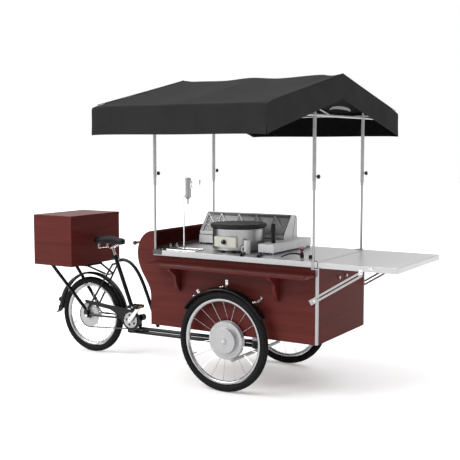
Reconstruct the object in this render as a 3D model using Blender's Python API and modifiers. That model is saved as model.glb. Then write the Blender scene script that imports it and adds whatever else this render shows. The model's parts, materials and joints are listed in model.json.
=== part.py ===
"""Pedal-driven vending tricycle with a swivelling front cabinet, a fold-out table and a telescopic canopy.

Metres, +Z up, +X forwards, left side at +Y. The origin is on the ground under the middle of the whole cart.
"""

import math

import bmesh
import bpy
from mathutils import Matrix, Vector

# ---------------------------------------------------------------- driving dimensions
GAP = 0.0003                     # clearance between neighbouring pieces
FRONT_X = 0.345                  # front axle and steering axis
WHEELBASE = 1.513
REAR_X = FRONT_X - WHEELBASE
FRONT_R = 0.3445                 # 28 inch wheels
REAR_R = 0.303                   # 24 inch wheel
TYRE_R = 0.026                   # radius of the tyre's section
TRACK = 0.914                    # between the middles of the front wheels
WHEEL_STEPS = 40
SPOKES = 18
BEAD_DEPTH = 0.027               # from the middle of the tyre's section to its inner edge
HUB_R = 0.132                    # front hub drums, each with a round cover
HUB_COVER_R = 0.089
HUB_FACES = (0.392, 0.430, 0.4575)

BOX_FRONT = FRONT_X + 0.663
BOX_REAR = FRONT_X - 0.652
BOX_HALF = 0.384                 # half width over the side panels
BOX_BOTTOM = 0.379
PANEL = 0.018
BACK_PANEL = 0.015
WING_REAR = FRONT_X - 0.768      # rearmost line of the curved back
WING_FRONT = FRONT_X - 0.618
WING_TOP = 1.054
WORKTOP_UNDER = 0.883
WORKTOP_TOP = 0.920
WORKTOP_HALF = 0.397
TABLE_TIP = FRONT_X + 1.200
SHELF_EDGE = -0.534              # outer edge of the shelf on the right side
TABLE_HINGE = (FRONT_X + 0.668, 0.876)

POST_X = (FRONT_X + 0.633, FRONT_X - 0.606)
POST_Y = 0.387
POST_R = 0.008
POST_TOP = 1.500
TRIM = 0.014                     # width of the angle that covers each front corner of the cabinet
SLEEVE_R = 0.0115
SLEEVE_BOTTOM = 1.375
SLEEVE_TOP = 1.860
KNOB_Z = 1.462
CANOPY_X = (FRONT_X - 0.627, FRONT_X + 0.652)
CANOPY_HALF = 1.038
EAVE_Z = 1.898
RIDGE_Z = 2.125
VALANCE = 0.174
FABRIC = 0.0025

BB_X, BB_Z = FRONT_X - 1.085, 0.307          # crank axis
SEAT_TUBE_TOP = (FRONT_X - 1.273, 0.770)
SEAT_TUBE_R = 0.016
CRANK_LENGTH = 0.170
CRANK_ANGLE = math.radians(50)
CHAIN_PITCH = 0.0127
RING_TEETH = 36
SPROCKET_TEETH = 48
CHAIN_Y = -0.046
DROPOUT = [(REAR_X - 0.018, REAR_R - 0.020), (REAR_X + 0.030, REAR_R - 0.020),
           (REAR_X + 0.040, REAR_R + 0.010),
           (REAR_X + 0.005, REAR_R + 0.045), (REAR_X - 0.022, REAR_R + 0.040)]
FENDER_R = REAR_R + 0.040
FLAP_TIP = -TABLE_TIP            # the flap's tip and the table's edge are the cart's two ends
FRONT_FENDER_R = FRONT_R + 0.023

REAR_BOX = ((FRONT_X - 1.859, -0.295, 0.719), (FRONT_X - 1.473, 0.295, 1.092))
LID_TOP = 1.113

STRUT_PIN = (FRONT_X + 0.645, 0.672)
STRUT_ANGLE = math.radians(31.6)
STRUT_LENGTH = 0.370

BLACK = ((0.012, 0.012, 0.013), 0.35, 0.0)
STEEL = ((0.62, 0.62, 0.63), 0.28, 1.0)
CHROME = ((0.75, 0.75, 0.76), 0.12, 1.0)
ALLOY = ((0.72, 0.72, 0.73), 0.35, 1.0)
RUBBER = ((0.02, 0.02, 0.021), 0.8, 0.0)
WOOD = ((0.16, 0.030, 0.026), 0.45, 0.0)
WHITE = ((0.70, 0.70, 0.70), 0.35, 0.0)
RED = ((0.16, 0.012, 0.015), 0.4, 0.0)
CLOTH = ((0.05, 0.05, 0.053), 0.9, 0.0)
IRON = ((0.02, 0.02, 0.02), 0.55, 0.4)


# ---------------------------------------------------------------- building blocks
def clear_scene():
    for obj in list(bpy.data.objects):
        bpy.data.objects.remove(obj)


def collection(name):
    found = bpy.data.collections.new(name)
    bpy.context.scene.collection.children.link(found)
    return found


def add_mesh(name, bm):
    """A new object in the cart's collection from a finished bmesh."""
    bmesh.ops.recalc_face_normals(bm, faces=bm.faces)
    mesh = bpy.data.meshes.new(name)
    bm.to_mesh(mesh)
    bm.free()
    obj = bpy.data.objects.new(name, mesh)
    CART.objects.link(obj)
    return obj


def bake(obj):
    """Replaces an object by the plain mesh of its evaluated shape, with its transform applied."""
    bpy.context.view_layer.update()
    graph = bpy.context.evaluated_depsgraph_get()
    mesh = bpy.data.meshes.new_from_object(obj.evaluated_get(graph))
    mesh.transform(obj.matrix_world)
    name = obj.name
    bpy.data.objects.remove(obj)
    bm = bmesh.new()
    bm.from_mesh(mesh)
    bpy.data.meshes.remove(mesh)
    bmesh.ops.remove_doubles(bm, verts=bm.verts, dist=1e-6)
    return add_mesh(name, bm)


def box(name, low, high, bevel=0.0):
    bm = bmesh.new()
    bmesh.ops.create_cube(bm, size=1.0)
    low, high = Vector(low), Vector(high)
    size = high - low
    bmesh.ops.scale(bm, vec=size, verts=bm.verts)
    bmesh.ops.translate(bm, vec=(low + high) / 2, verts=bm.verts)
    obj = add_mesh(name, bm)
    if bevel:
        rounding = obj.modifiers.new("edges", "BEVEL")
        rounding.width = bevel
        rounding.segments = 2
        obj = bake(obj)
    return obj


def rod(name, start, end, radius, sides=12, end_radius=None):
    """A straight round bar between two points, or a cone with end_radius."""
    start, end = Vector(start), Vector(end)
    along = end - start
    turn = along.to_track_quat("Z", "Y").to_matrix().to_4x4()
    bm = bmesh.new()
    bmesh.ops.create_cone(
        bm, cap_ends=True, segments=sides, radius1=radius,
        radius2=radius if end_radius is None else end_radius, depth=along.length,
        matrix=Matrix.Translation((start + end) / 2) @ turn)
    return add_mesh(name, bm)


def ball(name, centre, radius):
    bm = bmesh.new()
    bmesh.ops.create_uvsphere(bm, u_segments=10, v_segments=6, radius=radius,
                              matrix=Matrix.Translation(centre))
    return add_mesh(name, bm)


def pipe(name, points, radius, resolution=2, cyclic=False):
    """A bent tube through the points."""
    curve = bpy.data.curves.new(name, "CURVE")
    curve.dimensions = "3D"
    curve.bevel_depth = radius
    curve.bevel_resolution = resolution
    curve.use_fill_caps = not cyclic
    spline = curve.splines.new("POLY")
    spline.points.add(len(points) - 1)
    for knot, point in zip(spline.points, points):
        knot.co = (*point, 1.0)
    spline.use_cyclic_u = cyclic
    obj = bpy.data.objects.new(name, curve)
    CART.objects.link(obj)
    return bake(obj)


PLANES = {
    "XY": Matrix.Identity(4),
    "XZ": Matrix(((1, 0, 0, 0), (0, 0, -1, 0), (0, 1, 0, 0), (0, 0, 0, 1))),
    "YZ": Matrix(((0, 0, 1, 0), (1, 0, 0, 0), (0, 1, 0, 0), (0, 0, 0, 1))),
}


def plate(name, outlines, low, high, plane="XZ"):
    """A flat piece: outlines[0] is its edge and any others are holes; low and high are its faces' places."""
    curve = bpy.data.curves.new(name, "CURVE")
    curve.dimensions = "2D"
    curve.fill_mode = "BOTH"
    curve.extrude = (high - low) / 2
    for outline in outlines:
        spline = curve.splines.new("POLY")
        spline.points.add(len(outline) - 1)
        for knot, (across, up) in zip(spline.points, outline):
            knot.co = (across, up, 0.0, 1.0)
        spline.use_cyclic_u = True
    obj = bpy.data.objects.new(name, curve)
    CART.objects.link(obj)
    middle = (low + high) / 2
    shift = {"XY": (0, 0, middle), "XZ": (0, middle, 0), "YZ": (middle, 0, 0)}[plane]
    obj.matrix_world = Matrix.Translation(shift) @ PLANES[plane]
    return bake(obj)


TURNED_AXES = {
    "Z": Matrix.Identity(4),
    "Y": Matrix.Rotation(math.radians(-90), 4, "X"),
    "-Y": Matrix.Rotation(math.radians(90), 4, "X"),
    "X": Matrix.Rotation(math.radians(90), 4, "Y"),
}


def turned(name, profile, centre, axis="Z", steps=24, closed=False):
    """A turned piece. The profile is (radius, height) pairs down its outer side; closed joins its ends."""
    mesh = bpy.data.meshes.new(name)
    edges = [(i, i + 1) for i in range(len(profile) - 1)]
    if closed:
        edges.append((len(profile) - 1, 0))
    mesh.from_pydata([(radius, 0, height) for radius, height in profile], edges, [])
    obj = bpy.data.objects.new(name, mesh)
    CART.objects.link(obj)
    screw = obj.modifiers.new("turn", "SCREW")
    screw.steps = steps
    screw.render_steps = steps
    screw.use_merge_vertices = True
    screw.merge_threshold = 0.00001
    obj.matrix_world = Matrix.Translation(centre) @ TURNED_AXES[axis]
    return bake(obj)


def boolean(target, others, operation):
    """Joins to, or cuts from, the target every other object, one by one."""
    for other in others:
        CART.objects.unlink(other)
        CUTTERS.objects.link(other)
        other.hide_render = True
        other.display_type = "WIRE"
        step = target.modifiers.new("boolean", "BOOLEAN")
        step.operation = operation
        step.object = other
        step.solver = "EXACT"
        target = bake(target)
        bpy.data.objects.remove(other)
    return target


def union(name, pieces):
    joined = boolean(pieces[0], pieces[1:], "UNION")
    joined.name = name
    return joined


def cut(target, cutters):
    return boolean(target, cutters, "DIFFERENCE")


def group(name, pieces):
    """Several separate bodies as one mesh, for a single Boolean."""
    bm = bmesh.new()
    for piece in pieces:
        bm.from_mesh(piece.data)
        bpy.data.objects.remove(piece)
    return add_mesh(name, bm)


def finish(obj, look, smooth=35):
    """Gives the piece its own material and shades its round faces smooth."""
    (red, green, blue), roughness, metallic = look
    material = bpy.data.materials.new(obj.name)
    material.use_nodes = True
    shader = material.node_tree.nodes["Principled BSDF"]
    shader.inputs["Base Color"].default_value = (red, green, blue, 1.0)
    shader.inputs["Roughness"].default_value = roughness
    shader.inputs["Metallic"].default_value = metallic
    obj.data.materials.clear()
    obj.data.materials.append(material)
    obj.data.shade_smooth()
    obj.data.set_sharp_from_angle(angle=math.radians(smooth))
    return obj


def body(name, pivot, pieces, parent=None):
    """An empty on the joint axis that carries a moving body's pieces."""
    empty = bpy.data.objects.new(name, None)
    CART.objects.link(empty)
    empty.location = pivot
    if parent:
        empty.parent = parent
        empty.matrix_parent_inverse = Matrix.Translation(-Vector(parent.matrix_world.translation))
    bpy.context.view_layer.update()
    for piece in pieces:
        piece.data.transform(Matrix.Translation(-Vector(pivot)))
        piece.parent = empty
    bpy.context.view_layer.update()
    return empty


def arc(centre, radius, start, end, steps):
    """Points on a circle's arc, angles in degrees, in the plane of an outline."""
    angles = [math.radians(start + (end - start) * i / steps) for i in range(steps + 1)]
    return [(centre[0] + radius * math.cos(a), centre[1] + radius * math.sin(a)) for a in angles]


def circle(centre, radius, steps=24):
    return arc(centre, radius, 0, 360, steps)[:-1]


def bezier(p0, p1, p2, p3, steps):
    points = []
    for i in range(steps + 1):
        t = i / steps
        weights = ((1 - t) ** 3, 3 * t * (1 - t) ** 2, 3 * t * t * (1 - t), t ** 3)
        points.append(tuple(sum(w * p[k] for w, p in zip(weights, (p0, p1, p2, p3))) for k in (0, 1)))
    return points


# ---------------------------------------------------------------- wheels
def wheel_pieces(side, x, y, radius, hub_radius, hub_in, hub_out, cover=None):
    """Tyre, and one welded body of rim, spokes and hub. hub_in and hub_out are the drum's faces in Y.

    cover is the (radius, depth) of a round cover on the outer face.
    """
    tread = radius - TYRE_R
    outline = [(tread + TYRE_R * math.cos(a), TYRE_R * math.sin(a))
               for a in (math.radians(angle) for angle in (110, 55, 0, -55, -110))]
    outline += [(tread - BEAD_DEPTH, -0.014), (tread - BEAD_DEPTH, 0.014)]
    tyre = turned("tyre_" + side, outline, (x, y, radius), "Y", WHEEL_STEPS, closed=True)
    rim_top = tread - BEAD_DEPTH - GAP
    rim_profile = [(rim_top, 0.0125), (rim_top, -0.0125), (rim_top - 0.016, -0.0125),
                   (rim_top - 0.021, 0.0), (rim_top - 0.016, 0.0125)]
    rim = turned("rim", rim_profile, (x, y, radius), "Y", WHEEL_STEPS, closed=True)
    middle = (hub_in + hub_out) / 2
    half = abs(hub_out - hub_in) / 2
    profile = [(hub_radius * 0.94, half), (hub_radius, half - 0.006), (hub_radius, 0.006 - half),
               (hub_radius * 0.94, -half), (0, -half)]
    if cover:
        cover_radius, depth = cover
        profile = [(0, half + depth), (cover_radius - 0.005, half + depth),
                   (cover_radius, half + depth - 0.005), (cover_radius, half)] + profile
    else:
        profile = [(0, half)] + profile
    hub = turned("hub", profile, (x, middle, radius), "Y" if hub_out > hub_in else "-Y", 32)
    wires = []
    for k in range(SPOKES):
        angle = 2 * math.pi * (k + 0.5) / SPOKES
        flange = middle + (half - 0.009) * (1 if k % 2 else -1)
        direction = Vector((math.cos(angle), 0, math.sin(angle)))
        start = Vector((x, flange, radius)) + direction * (hub_radius - 0.006)
        end = Vector((x, y, radius)) + direction * (rim_top - 0.010)
        wires.append(rod("spoke", start, end, 0.0013, sides=4))
    frame = union("wheel_" + side, [rim, hub, group("spokes", wires)])
    frame = cut(frame, [rod("bore", (x, middle - 0.2, radius), (x, middle + 0.2, radius), 0.0083, 24)])
    return finish(tyre, RUBBER), finish(frame, ALLOY)


def chain_wheel(name, teeth, x, z, steps):
    """A flat disc inside the chain's line."""
    radius = pitch_radius(teeth) - 0.0045
    return rod(name, (x, CHAIN_Y - 0.0015, z), (x, CHAIN_Y + 0.0015, z), radius, steps)


def pitch_radius(teeth):
    return CHAIN_PITCH / (2 * math.sin(math.pi / teeth))


def fender(name, x, y, wheel_z, radius, start, end, half_width):
    """A thin crowned mudguard over a wheel, from one angle to another in degrees from +X."""
    steps = round((end - start) / 8)
    sheet = bmesh.new()
    rows = []
    crown = [(-half_width, -0.012), (-half_width * 0.72, -0.003), (0, 0),
             (half_width * 0.72, -0.003), (half_width, -0.012)]
    for px, pz in arc((0, 0), 1.0, start, end, steps):
        rows.append([sheet.verts.new((x + px * (radius + drop), y + across, wheel_z + pz * (radius + drop)))
                     for across, drop in crown])
    for one, two in zip(rows, rows[1:]):
        for i in range(len(crown) - 1):
            sheet.faces.new((one[i], one[i + 1], two[i + 1], two[i]))
    obj = add_mesh(name, sheet)
    skin = obj.modifiers.new("skin", "SOLIDIFY")
    skin.thickness = 0.0025
    skin.offset = 0.0
    return bake(obj)


# ---------------------------------------------------------------- rear frame
def seat_tube_point(height):
    """Centre of the seat tube's line, (x, z), at a height."""
    share = (height - BB_Z) / (SEAT_TUBE_TOP[1] - BB_Z)
    return BB_X + share * (SEAT_TUBE_TOP[0] - BB_X), height


def beam_z(x):
    """Height of the middle between the two stacked beam tubes."""
    return 0.2185 + 0.018 * (x - (FRONT_X - 1.15)) / 1.15


def build_seat_tube():
    top = seat_tube_point(SEAT_TUBE_TOP[1])
    tube = rod("tube", (BB_X, 0, BB_Z), (top[0], 0, top[1]), SEAT_TUBE_R, 16)
    shell = rod("shell", (BB_X, -0.035, BB_Z), (BB_X, 0.035, BB_Z), 0.023, 20)
    web_top = beam_z(BB_X) + 0.0287 + GAP
    web = plate("web", [[(BB_X - 0.020, web_top), (BB_X + 0.055, web_top + 0.0013), (BB_X + 0.050, BB_Z),
                         (BB_X - 0.012, BB_Z)]], -0.012, 0.012)
    boss = rod("boss", (BB_X + 0.062, -0.022, BB_Z + 0.018), (BB_X + 0.062, 0.022, BB_Z + 0.018), 0.026, 20)
    tube = union("seat_tube", [shell, tube, web, boss])
    tube = cut(tube, [rod("bore", (BB_X, -0.1, BB_Z), (BB_X, 0.1, BB_Z), 0.0103, 24)])
    direction = Vector((top[0] - BB_X, 0, top[1] - BB_Z)).normalized()
    mouth = Vector((top[0], 0, top[1])) + direction * 0.01
    post_bore = rod("post_bore", mouth - direction * 0.30, mouth, 0.0129, 24)
    return finish(cut(tube, [post_bore]), BLACK)


def build_curved_tube():
    """The step-through tube sweeps from the top of the seat tube down to the beam."""
    start = seat_tube_point(0.752)
    first = (start[0] + SEAT_TUBE_R + 0.0145, start[1] + 0.006)
    sweep = bezier(first, (first[0] + 0.105, first[1] + 0.030), (FRONT_X - 1.055, 0.690),
                   (FRONT_X - 1.003, 0.580), 9)
    fall = bezier(sweep[-1], (FRONT_X - 0.945, 0.457), (FRONT_X - 0.905, 0.335), (FRONT_X - 0.868, 0.2640), 5)
    points = [(x, 0, z) for x, z in sweep + fall[1:]]
    return finish(pipe("curved_tube", points, 0.0135), BLACK)


def build_main_beam():
    rear = FRONT_X - 1.150
    tubes = []
    for offset, start in ((-0.015, rear), (0.015, rear + 0.10)):
        tubes.append(rod("tube", (start, 0, beam_z(start) + offset), (FRONT_X, 0, beam_z(FRONT_X) + offset),
                         0.0137, 16))
    webs = []
    for x in (rear + 0.16, FRONT_X - 0.60, FRONT_X - 0.12):
        webs.append(box("web", (x - 0.03, -0.006, beam_z(x) - 0.012), (x + 0.03, 0.006, beam_z(x) + 0.012)))
    low, high = 0.2080, 0.2650
    housing = rod("housing", (FRONT_X, 0, low), (FRONT_X, 0, high), 0.032, 28)
    beam = union("main_beam", [tubes[0], tubes[1], *webs, housing])
    beam = cut(beam, [rod("bore", (FRONT_X, 0, low - 0.02), (FRONT_X, 0, high + 0.02), 0.0153, 24)])
    return finish(beam, BLACK)


def build_chain_stays():
    """Each stay passes inside the chainring, then spreads past the tyre and outside the sprocket."""
    front = BB_X - 0.046
    parts = [rod("bridge", (front, -0.0400, BB_Z), (front, 0.0400, BB_Z), 0.009, 12),
             rod("neck", (front, 0, BB_Z), (BB_X - 0.0235, 0, BB_Z), 0.008, 12)]
    for side in (-1, 1):
        line = [(front, side * 0.0315, BB_Z), (front - 0.030, side * 0.0330, BB_Z),
                (front - 0.100, side * 0.0405, BB_Z), (front - 0.274, side * 0.0585, BB_Z),
                (REAR_X + 0.004, side * 0.0620, REAR_R + 0.004)]
        parts.append(pipe("stay", line, 0.008))
        parts.append(plate("dropout", [DROPOUT], side * 0.062 - 0.0025, side * 0.062 + 0.0025))
    stays = union("chain_stays", parts)
    return finish(cut(stays, [rod("bore", (REAR_X, -0.1, REAR_R), (REAR_X, 0.1, REAR_R), 0.0063, 24)]), BLACK)


def seat_stay_line():
    """Ends of the right seat stay: behind the seat tube's top and above the drop-out."""
    x, z = seat_tube_point(0.735)
    back = Vector((BB_Z - SEAT_TUBE_TOP[1], 0, SEAT_TUBE_TOP[0] - BB_X)).normalized()
    top = Vector((x, 0, z)) + back * (SEAT_TUBE_R + 0.008 + GAP)
    return Vector((top.x, -0.034, top.z)), Vector((REAR_X - 0.002, -0.062, REAR_R + 0.0500))


def mirrored(point):
    return Vector((point[0], -point[1], point[2]))


def build_seat_stays():
    top, foot = seat_stay_line()
    bridge = top.lerp(foot, 0.23)
    parts = [rod("cross", (top.x, -0.040, top.z), (top.x, 0.040, top.z), 0.008, 12),
             rod("bridge", bridge, mirrored(bridge), 0.006, 12),
             rod("stay", top, foot, 0.0075, 12), rod("stay", mirrored(top), mirrored(foot), 0.0075, 12)]
    return finish(union("seat_stays", parts), BLACK)


def build_rear_axle():
    axle = rod("axle", (REAR_X, -0.088, REAR_R), (REAR_X, 0.088, REAR_R), 0.006, 20)
    nuts = [rod("nut", (REAR_X, side * 0.0813, REAR_R), (REAR_X, side * 0.0893, REAR_R), 0.011, 6)
            for side in (-1, 1)]
    return finish(union("rear_axle", [axle, *nuts]), STEEL)


def build_rear_fender():
    """The mudguard with the flap that kicks back at its lower end."""
    guard = fender("guard", REAR_X, 0, REAR_R, FENDER_R, 6, 177, 0.031)
    back = REAR_X - FENDER_R
    flap = [(back + 0.003, REAR_R + 0.040), (back - 0.001, REAR_R + 0.040), (back - 0.008, REAR_R - 0.002),
            (FLAP_TIP, REAR_R - 0.019), (FLAP_TIP + 0.001, REAR_R - 0.022), (back - 0.005, REAR_R - 0.007)]
    return finish(union("rear_fender", [guard, plate("flap", [flap], -0.029, 0.029)]), BLACK)


def build_rear_reflector():
    out = Vector((-0.968, 0, 0.252))
    start = Vector((REAR_X, 0, REAR_R)) + out * (FENDER_R + 0.0018)
    return finish(rod("rear_reflector", start, start + out * 0.022, 0.019, 20), RED)


def build_chain_guard():
    """A flat guard that widens towards the crank and rings its silver disc. It leans out towards the rear."""
    ring = 0.082
    outline = [(REAR_X - 0.027, REAR_R + 0.116), (REAR_X - 0.010, REAR_R + 0.126)]
    outline += arc((BB_X, BB_Z), ring, 84, -150, 20)
    outline += [(BB_X - 0.120, BB_Z + 0.025), (BB_X - 0.200, BB_Z + 0.064), (REAR_X - 0.010, REAR_R + 0.100)]
    guard = plate("guard", [outline], -0.0015, 0.0015)
    guard = cut(guard, [rod("eye", (BB_X, -0.02, BB_Z), (BB_X, 0.02, BB_Z), 0.0655, 28)])
    guard.name = "chain_guard"
    lean = Matrix.Rotation(math.radians(1.8), 4, "Z")
    guard.data.transform(Matrix.Translation((BB_X, -0.0605, 0)) @ lean @ Matrix.Translation((-BB_X, 0, 0)))
    return finish(guard, BLACK)


def chain_line():
    """The closed loop of the chain around the chainring and the sprocket, (x, z) points."""
    small = pitch_radius(RING_TEETH)
    large = pitch_radius(SPROCKET_TEETH)
    dx, dz = BB_X - REAR_X, BB_Z - REAR_R
    distance = math.hypot(dx, dz)
    tilt = math.degrees(math.atan2(dz, dx))
    lean = math.degrees(math.asin((large - small) / distance))
    back = arc((REAR_X, REAR_R), large, tilt + 90 - lean, tilt + 270 + lean, 22)
    front = arc((BB_X, BB_Z), small, tilt - 90 + lean, tilt + 90 - lean, 16)
    return back + front


def build_chain():
    """The chain as one band outside the teeth."""
    points = chain_line()
    count = len(points)
    bm = bmesh.new()
    rings = []
    for i, (x, z) in enumerate(points):
        before, after = Vector(points[i - 1]), Vector(points[(i + 1) % count])
        along = (after - before).normalized()
        out = Vector((along.y, -along.x))
        ring = []
        for across, reach in ((-0.004, -0.0035), (0.004, -0.0035), (0.004, 0.0035), (-0.004, 0.0035)):
            ring.append(bm.verts.new((x + out.x * reach, CHAIN_Y + across, z + out.y * reach)))
        rings.append(ring)
    for i in range(count):
        one, two = rings[i], rings[(i + 1) % count]
        for k in range(4):
            bm.faces.new((one[k], one[(k + 1) % 4], two[(k + 1) % 4], two[k]))
    return finish(add_mesh("chain", bm), STEEL)


def build_box_carrier():
    low = REAR_BOX[0][2] - GAP
    rear_x, front_x = FRONT_X - 1.840, FRONT_X - 1.500
    rail_z = low - 0.011
    parts = []
    for side in (-1, 1):
        parts.append(rod("rail", (rear_x, side * 0.130, rail_z), (front_x, side * 0.085, rail_z), 0.010, 10))
        parts.append(rod("strut", (rear_x + 0.004, side * 0.130, rail_z),
                         (REAR_X - 0.010, side * 0.0860, REAR_R + 0.058), 0.0135, 12))
        foot = [(REAR_X - 0.028, REAR_R + 0.070), (REAR_X - 0.034, REAR_R + 0.010), (REAR_X, REAR_R - 0.014),
                (REAR_X + 0.014, REAR_R), (REAR_X + 0.006, REAR_R + 0.014), (REAR_X - 0.010, REAR_R + 0.062)]
        centre = side * 0.0735
        lug = plate("lug", [foot], centre - 0.003, centre + 0.003)
        parts.append(lug)
        parts.append(rod("brace", (front_x, side * 0.085, rail_z),
                         (FRONT_X - 1.347, side * 0.0400, 0.6460), 0.008, 10))
    parts.append(rod("rear_bar", (rear_x, -0.140, rail_z), (rear_x, 0.140, rail_z), 0.010, 10))
    parts.append(rod("front_bar", (front_x, -0.095, rail_z), (front_x, 0.095, rail_z), 0.010, 10))
    carrier = union("box_carrier", [parts[-2], parts[-1], *parts[:-2]])
    bore = rod("bore", (REAR_X, -0.1, REAR_R), (REAR_X, 0.1, REAR_R), 0.0063, 24)
    return finish(cut(carrier, [bore]), BLACK)


def build_rear_box():
    (x0, y0, z0), (x1, y1, z1) = REAR_BOX
    wall = 0.014
    shell = box("rear_box", (x0, y0, z0), (x1, y1, z1))
    hollow = box("hollow", (x0 + wall, y0 + wall, z0 + wall), (x1 - wall, y1 - wall, z1 + 0.1))
    hinge = rod("hinge", (x0 - 0.0045, -0.24, z1 - 0.003), (x0 - 0.0045, 0.24, z1 - 0.003), 0.005, 10)
    return finish(union("rear_box", [cut(shell, [hollow]), hinge]), WOOD)


def build_lid():
    (x0, y0, _), (x1, y1, z1) = REAR_BOX
    return finish(box("rear_box_lid", (x0, y0, z1 + GAP), (x1 + 0.003, y1, LID_TOP), 0.002), WOOD)


def build_seat_clamp():
    top = Vector((SEAT_TUBE_TOP[0], 0, SEAT_TUBE_TOP[1]))
    direction = Vector((top.x - BB_X, 0, top.z - BB_Z)).normalized()
    ring = rod("ring", top + direction * GAP, top + direction * 0.024, 0.020, 20)
    bolt = rod("bolt", top + direction * 0.012 + Vector((-0.017, -0.020, -0.007)),
               top + direction * 0.012 + Vector((-0.017, 0.020, -0.007)), 0.004, 8)
    clamp = union("seat_clamp", [ring, bolt])
    bore = rod("bore", top - direction * 0.03, top + direction * 0.06, 0.0129, 24)
    return finish(cut(clamp, [bore]), BLACK)


# ---------------------------------------------------------------- saddle and drive
def build_seat_post():
    """Post, saddle rails and the two coil springs under the saddle's rear, as one welded piece."""
    top = Vector((SEAT_TUBE_TOP[0], 0, SEAT_TUBE_TOP[1]))
    direction = Vector((top.x - BB_X, 0, top.z - BB_Z)).normalized()
    head = top + direction * 0.096
    parts = [rod("post", top - direction * 0.16, head, 0.0125, 16)]
    parts.append(rod("head", head - Vector((0, 0.038, 0)), head + Vector((0, 0.038, 0)), 0.012, 12))
    rear = FRONT_X - 1.405
    for side in (-1, 1):
        rail = [(FRONT_X - 1.235, side * 0.014, 0.8745), (head.x + 0.03, side * 0.026, head.z + 0.004),
                (head.x - 0.03, side * 0.030, head.z), (rear, side * 0.052, head.z - 0.006)]
        parts.append(pipe("rail", rail, 0.004, 1))
        y = side * 0.052
        parts.append(rod("spring", (rear, y, head.z - 0.012), (rear, y, 0.8855), 0.011, 14))
    parts.append(rod("rear_bar", (rear, -0.052, head.z - 0.006), (rear, 0.052, head.z - 0.006), 0.004, 8))
    return finish(union("seat_post", parts), CHROME)


def build_saddle():
    """A broad sprung saddle: wide at the back, narrow at the nose."""
    nose, rear = FRONT_X - 1.190, FRONT_X - 1.437
    stations = ((0.00, 0.085, 0.895, 0.932), (0.12, 0.100, 0.889, 0.942), (0.36, 0.096, 0.888, 0.944),
                (0.60, 0.055, 0.886, 0.938), (0.82, 0.030, 0.882, 0.932), (0.96, 0.026, 0.880, 0.926),
                (1.00, 0.016, 0.884, 0.918))
    bm = bmesh.new()
    rings = []
    for share, half, low, high in stations:
        x = rear + share * (nose - rear)
        section = ((-half, low), (-half * 1.02, (low + high) / 2), (-half * 0.62, high), (0, high + 0.001),
                   (half * 0.62, high), (half * 1.02, (low + high) / 2), (half, low))
        rings.append([bm.verts.new((x, y, z)) for y, z in section])
    for one, two in zip(rings, rings[1:]):
        for k in range(7):
            bm.faces.new((one[k], one[(k + 1) % 7], two[(k + 1) % 7], two[k]))
    bm.faces.new(rings[0])
    bm.faces.new(rings[-1])
    return finish(add_mesh("saddle", bm), BLACK, 60)


def crank_end(side):
    """Pedal axle's place on the crank of a side: -1 is the right one, +1 the left one opposite it."""
    reach = -side * CRANK_LENGTH
    return BB_X + reach * math.cos(CRANK_ANGLE), BB_Z + reach * math.sin(CRANK_ANGLE)


def build_crank():
    """Spindle, both arms, the pedal stubs, a holed silver disc and the chainring."""
    overrun = Vector((math.cos(CRANK_ANGLE), 0, math.sin(CRANK_ANGLE))) * 0.004
    parts = [rod("spindle", (BB_X, -0.082, BB_Z), (BB_X, 0.082, BB_Z), 0.010, 20)]
    disc = rod("disc", (BB_X, -0.0640, BB_Z), (BB_X, -0.0465, BB_Z), 0.060, 32)
    holes = []
    for k in range(5):
        angle = math.radians(18 + 72 * k)
        x, z = BB_X + 0.038 * math.cos(angle), BB_Z + 0.038 * math.sin(angle)
        holes.append(rod("hole", (x, -0.070, z), (x, -0.052, z), 0.0085, 12))
    parts.append(cut(disc, [group("holes", holes)]))
    parts.append(chain_wheel("chainring", RING_TEETH, BB_X, BB_Z, 36))
    for side in (-1, 1):
        x, z = crank_end(side)
        y = side * 0.0775
        inner_end, outer_end = Vector((BB_X, y, BB_Z)) + overrun * side, Vector((x, y, z)) - overrun * side
        parts.append(rod("arm", inner_end, outer_end, 0.0085, 10))
        parts.append(rod("eye", (BB_X, y - 0.008, BB_Z), (BB_X, y + 0.008, BB_Z), 0.016, 16))
        parts.append(rod("stub", (x, y - side * 0.008, z), (x, side * 0.190, z), 0.0055, 12))
    return finish(union("crank_set", parts), CHROME)


def build_pedal(side):
    x, z = crank_end(side)
    low, high = sorted((side * 0.0925, side * 0.188))
    pedal = box("pedal", (x - 0.045, low, z - 0.0135), (x + 0.045, high, z + 0.0135), 0.004)
    bore = rod("bore", (x, low - 0.05, z), (x, high + 0.05, z), 0.0058, 24)
    obj = cut(pedal, [bore])
    obj.name = "pedal_left" if side > 0 else "pedal_right"
    return finish(obj, BLACK)


def build_rear_wheel():
    tyre, frame = wheel_pieces("rear", REAR_X, 0, REAR_R, 0.030, -0.038, 0.050)
    sprocket = chain_wheel("sprocket", SPROCKET_TEETH, REAR_X, REAR_R, 40)
    carrier = rod("carrier", (REAR_X, CHAIN_Y - 0.006, REAR_R), (REAR_X, -0.0385, REAR_R), 0.055, 28)
    sprocket = union("rear_sprocket", [carrier, sprocket])
    sprocket = cut(sprocket, [rod("bore", (REAR_X, -0.1, REAR_R), (REAR_X, 0.1, REAR_R), 0.0083, 24)])
    return tyre, frame, finish(sprocket, ALLOY)


# ---------------------------------------------------------------- front cabinet
def wing_profile():
    """Rear outline of the cabinet, from the bottom up: straight, an S-sweep, then a quarter-ellipse curl."""
    sweep = bezier((BOX_REAR, 0.590), (BOX_REAR, 0.690), (WING_REAR, 0.745), (WING_REAR, 0.890), 10)
    across, rise = 0.139, WING_TOP - 0.890
    curl = [(WING_REAR + across * (1 - math.cos(a)), 0.890 + rise * math.sin(a))
            for a in (math.radians(90 * k / 7) for k in range(1, 8))]
    return [(BOX_REAR, BOX_BOTTOM)] + sweep + curl


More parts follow.
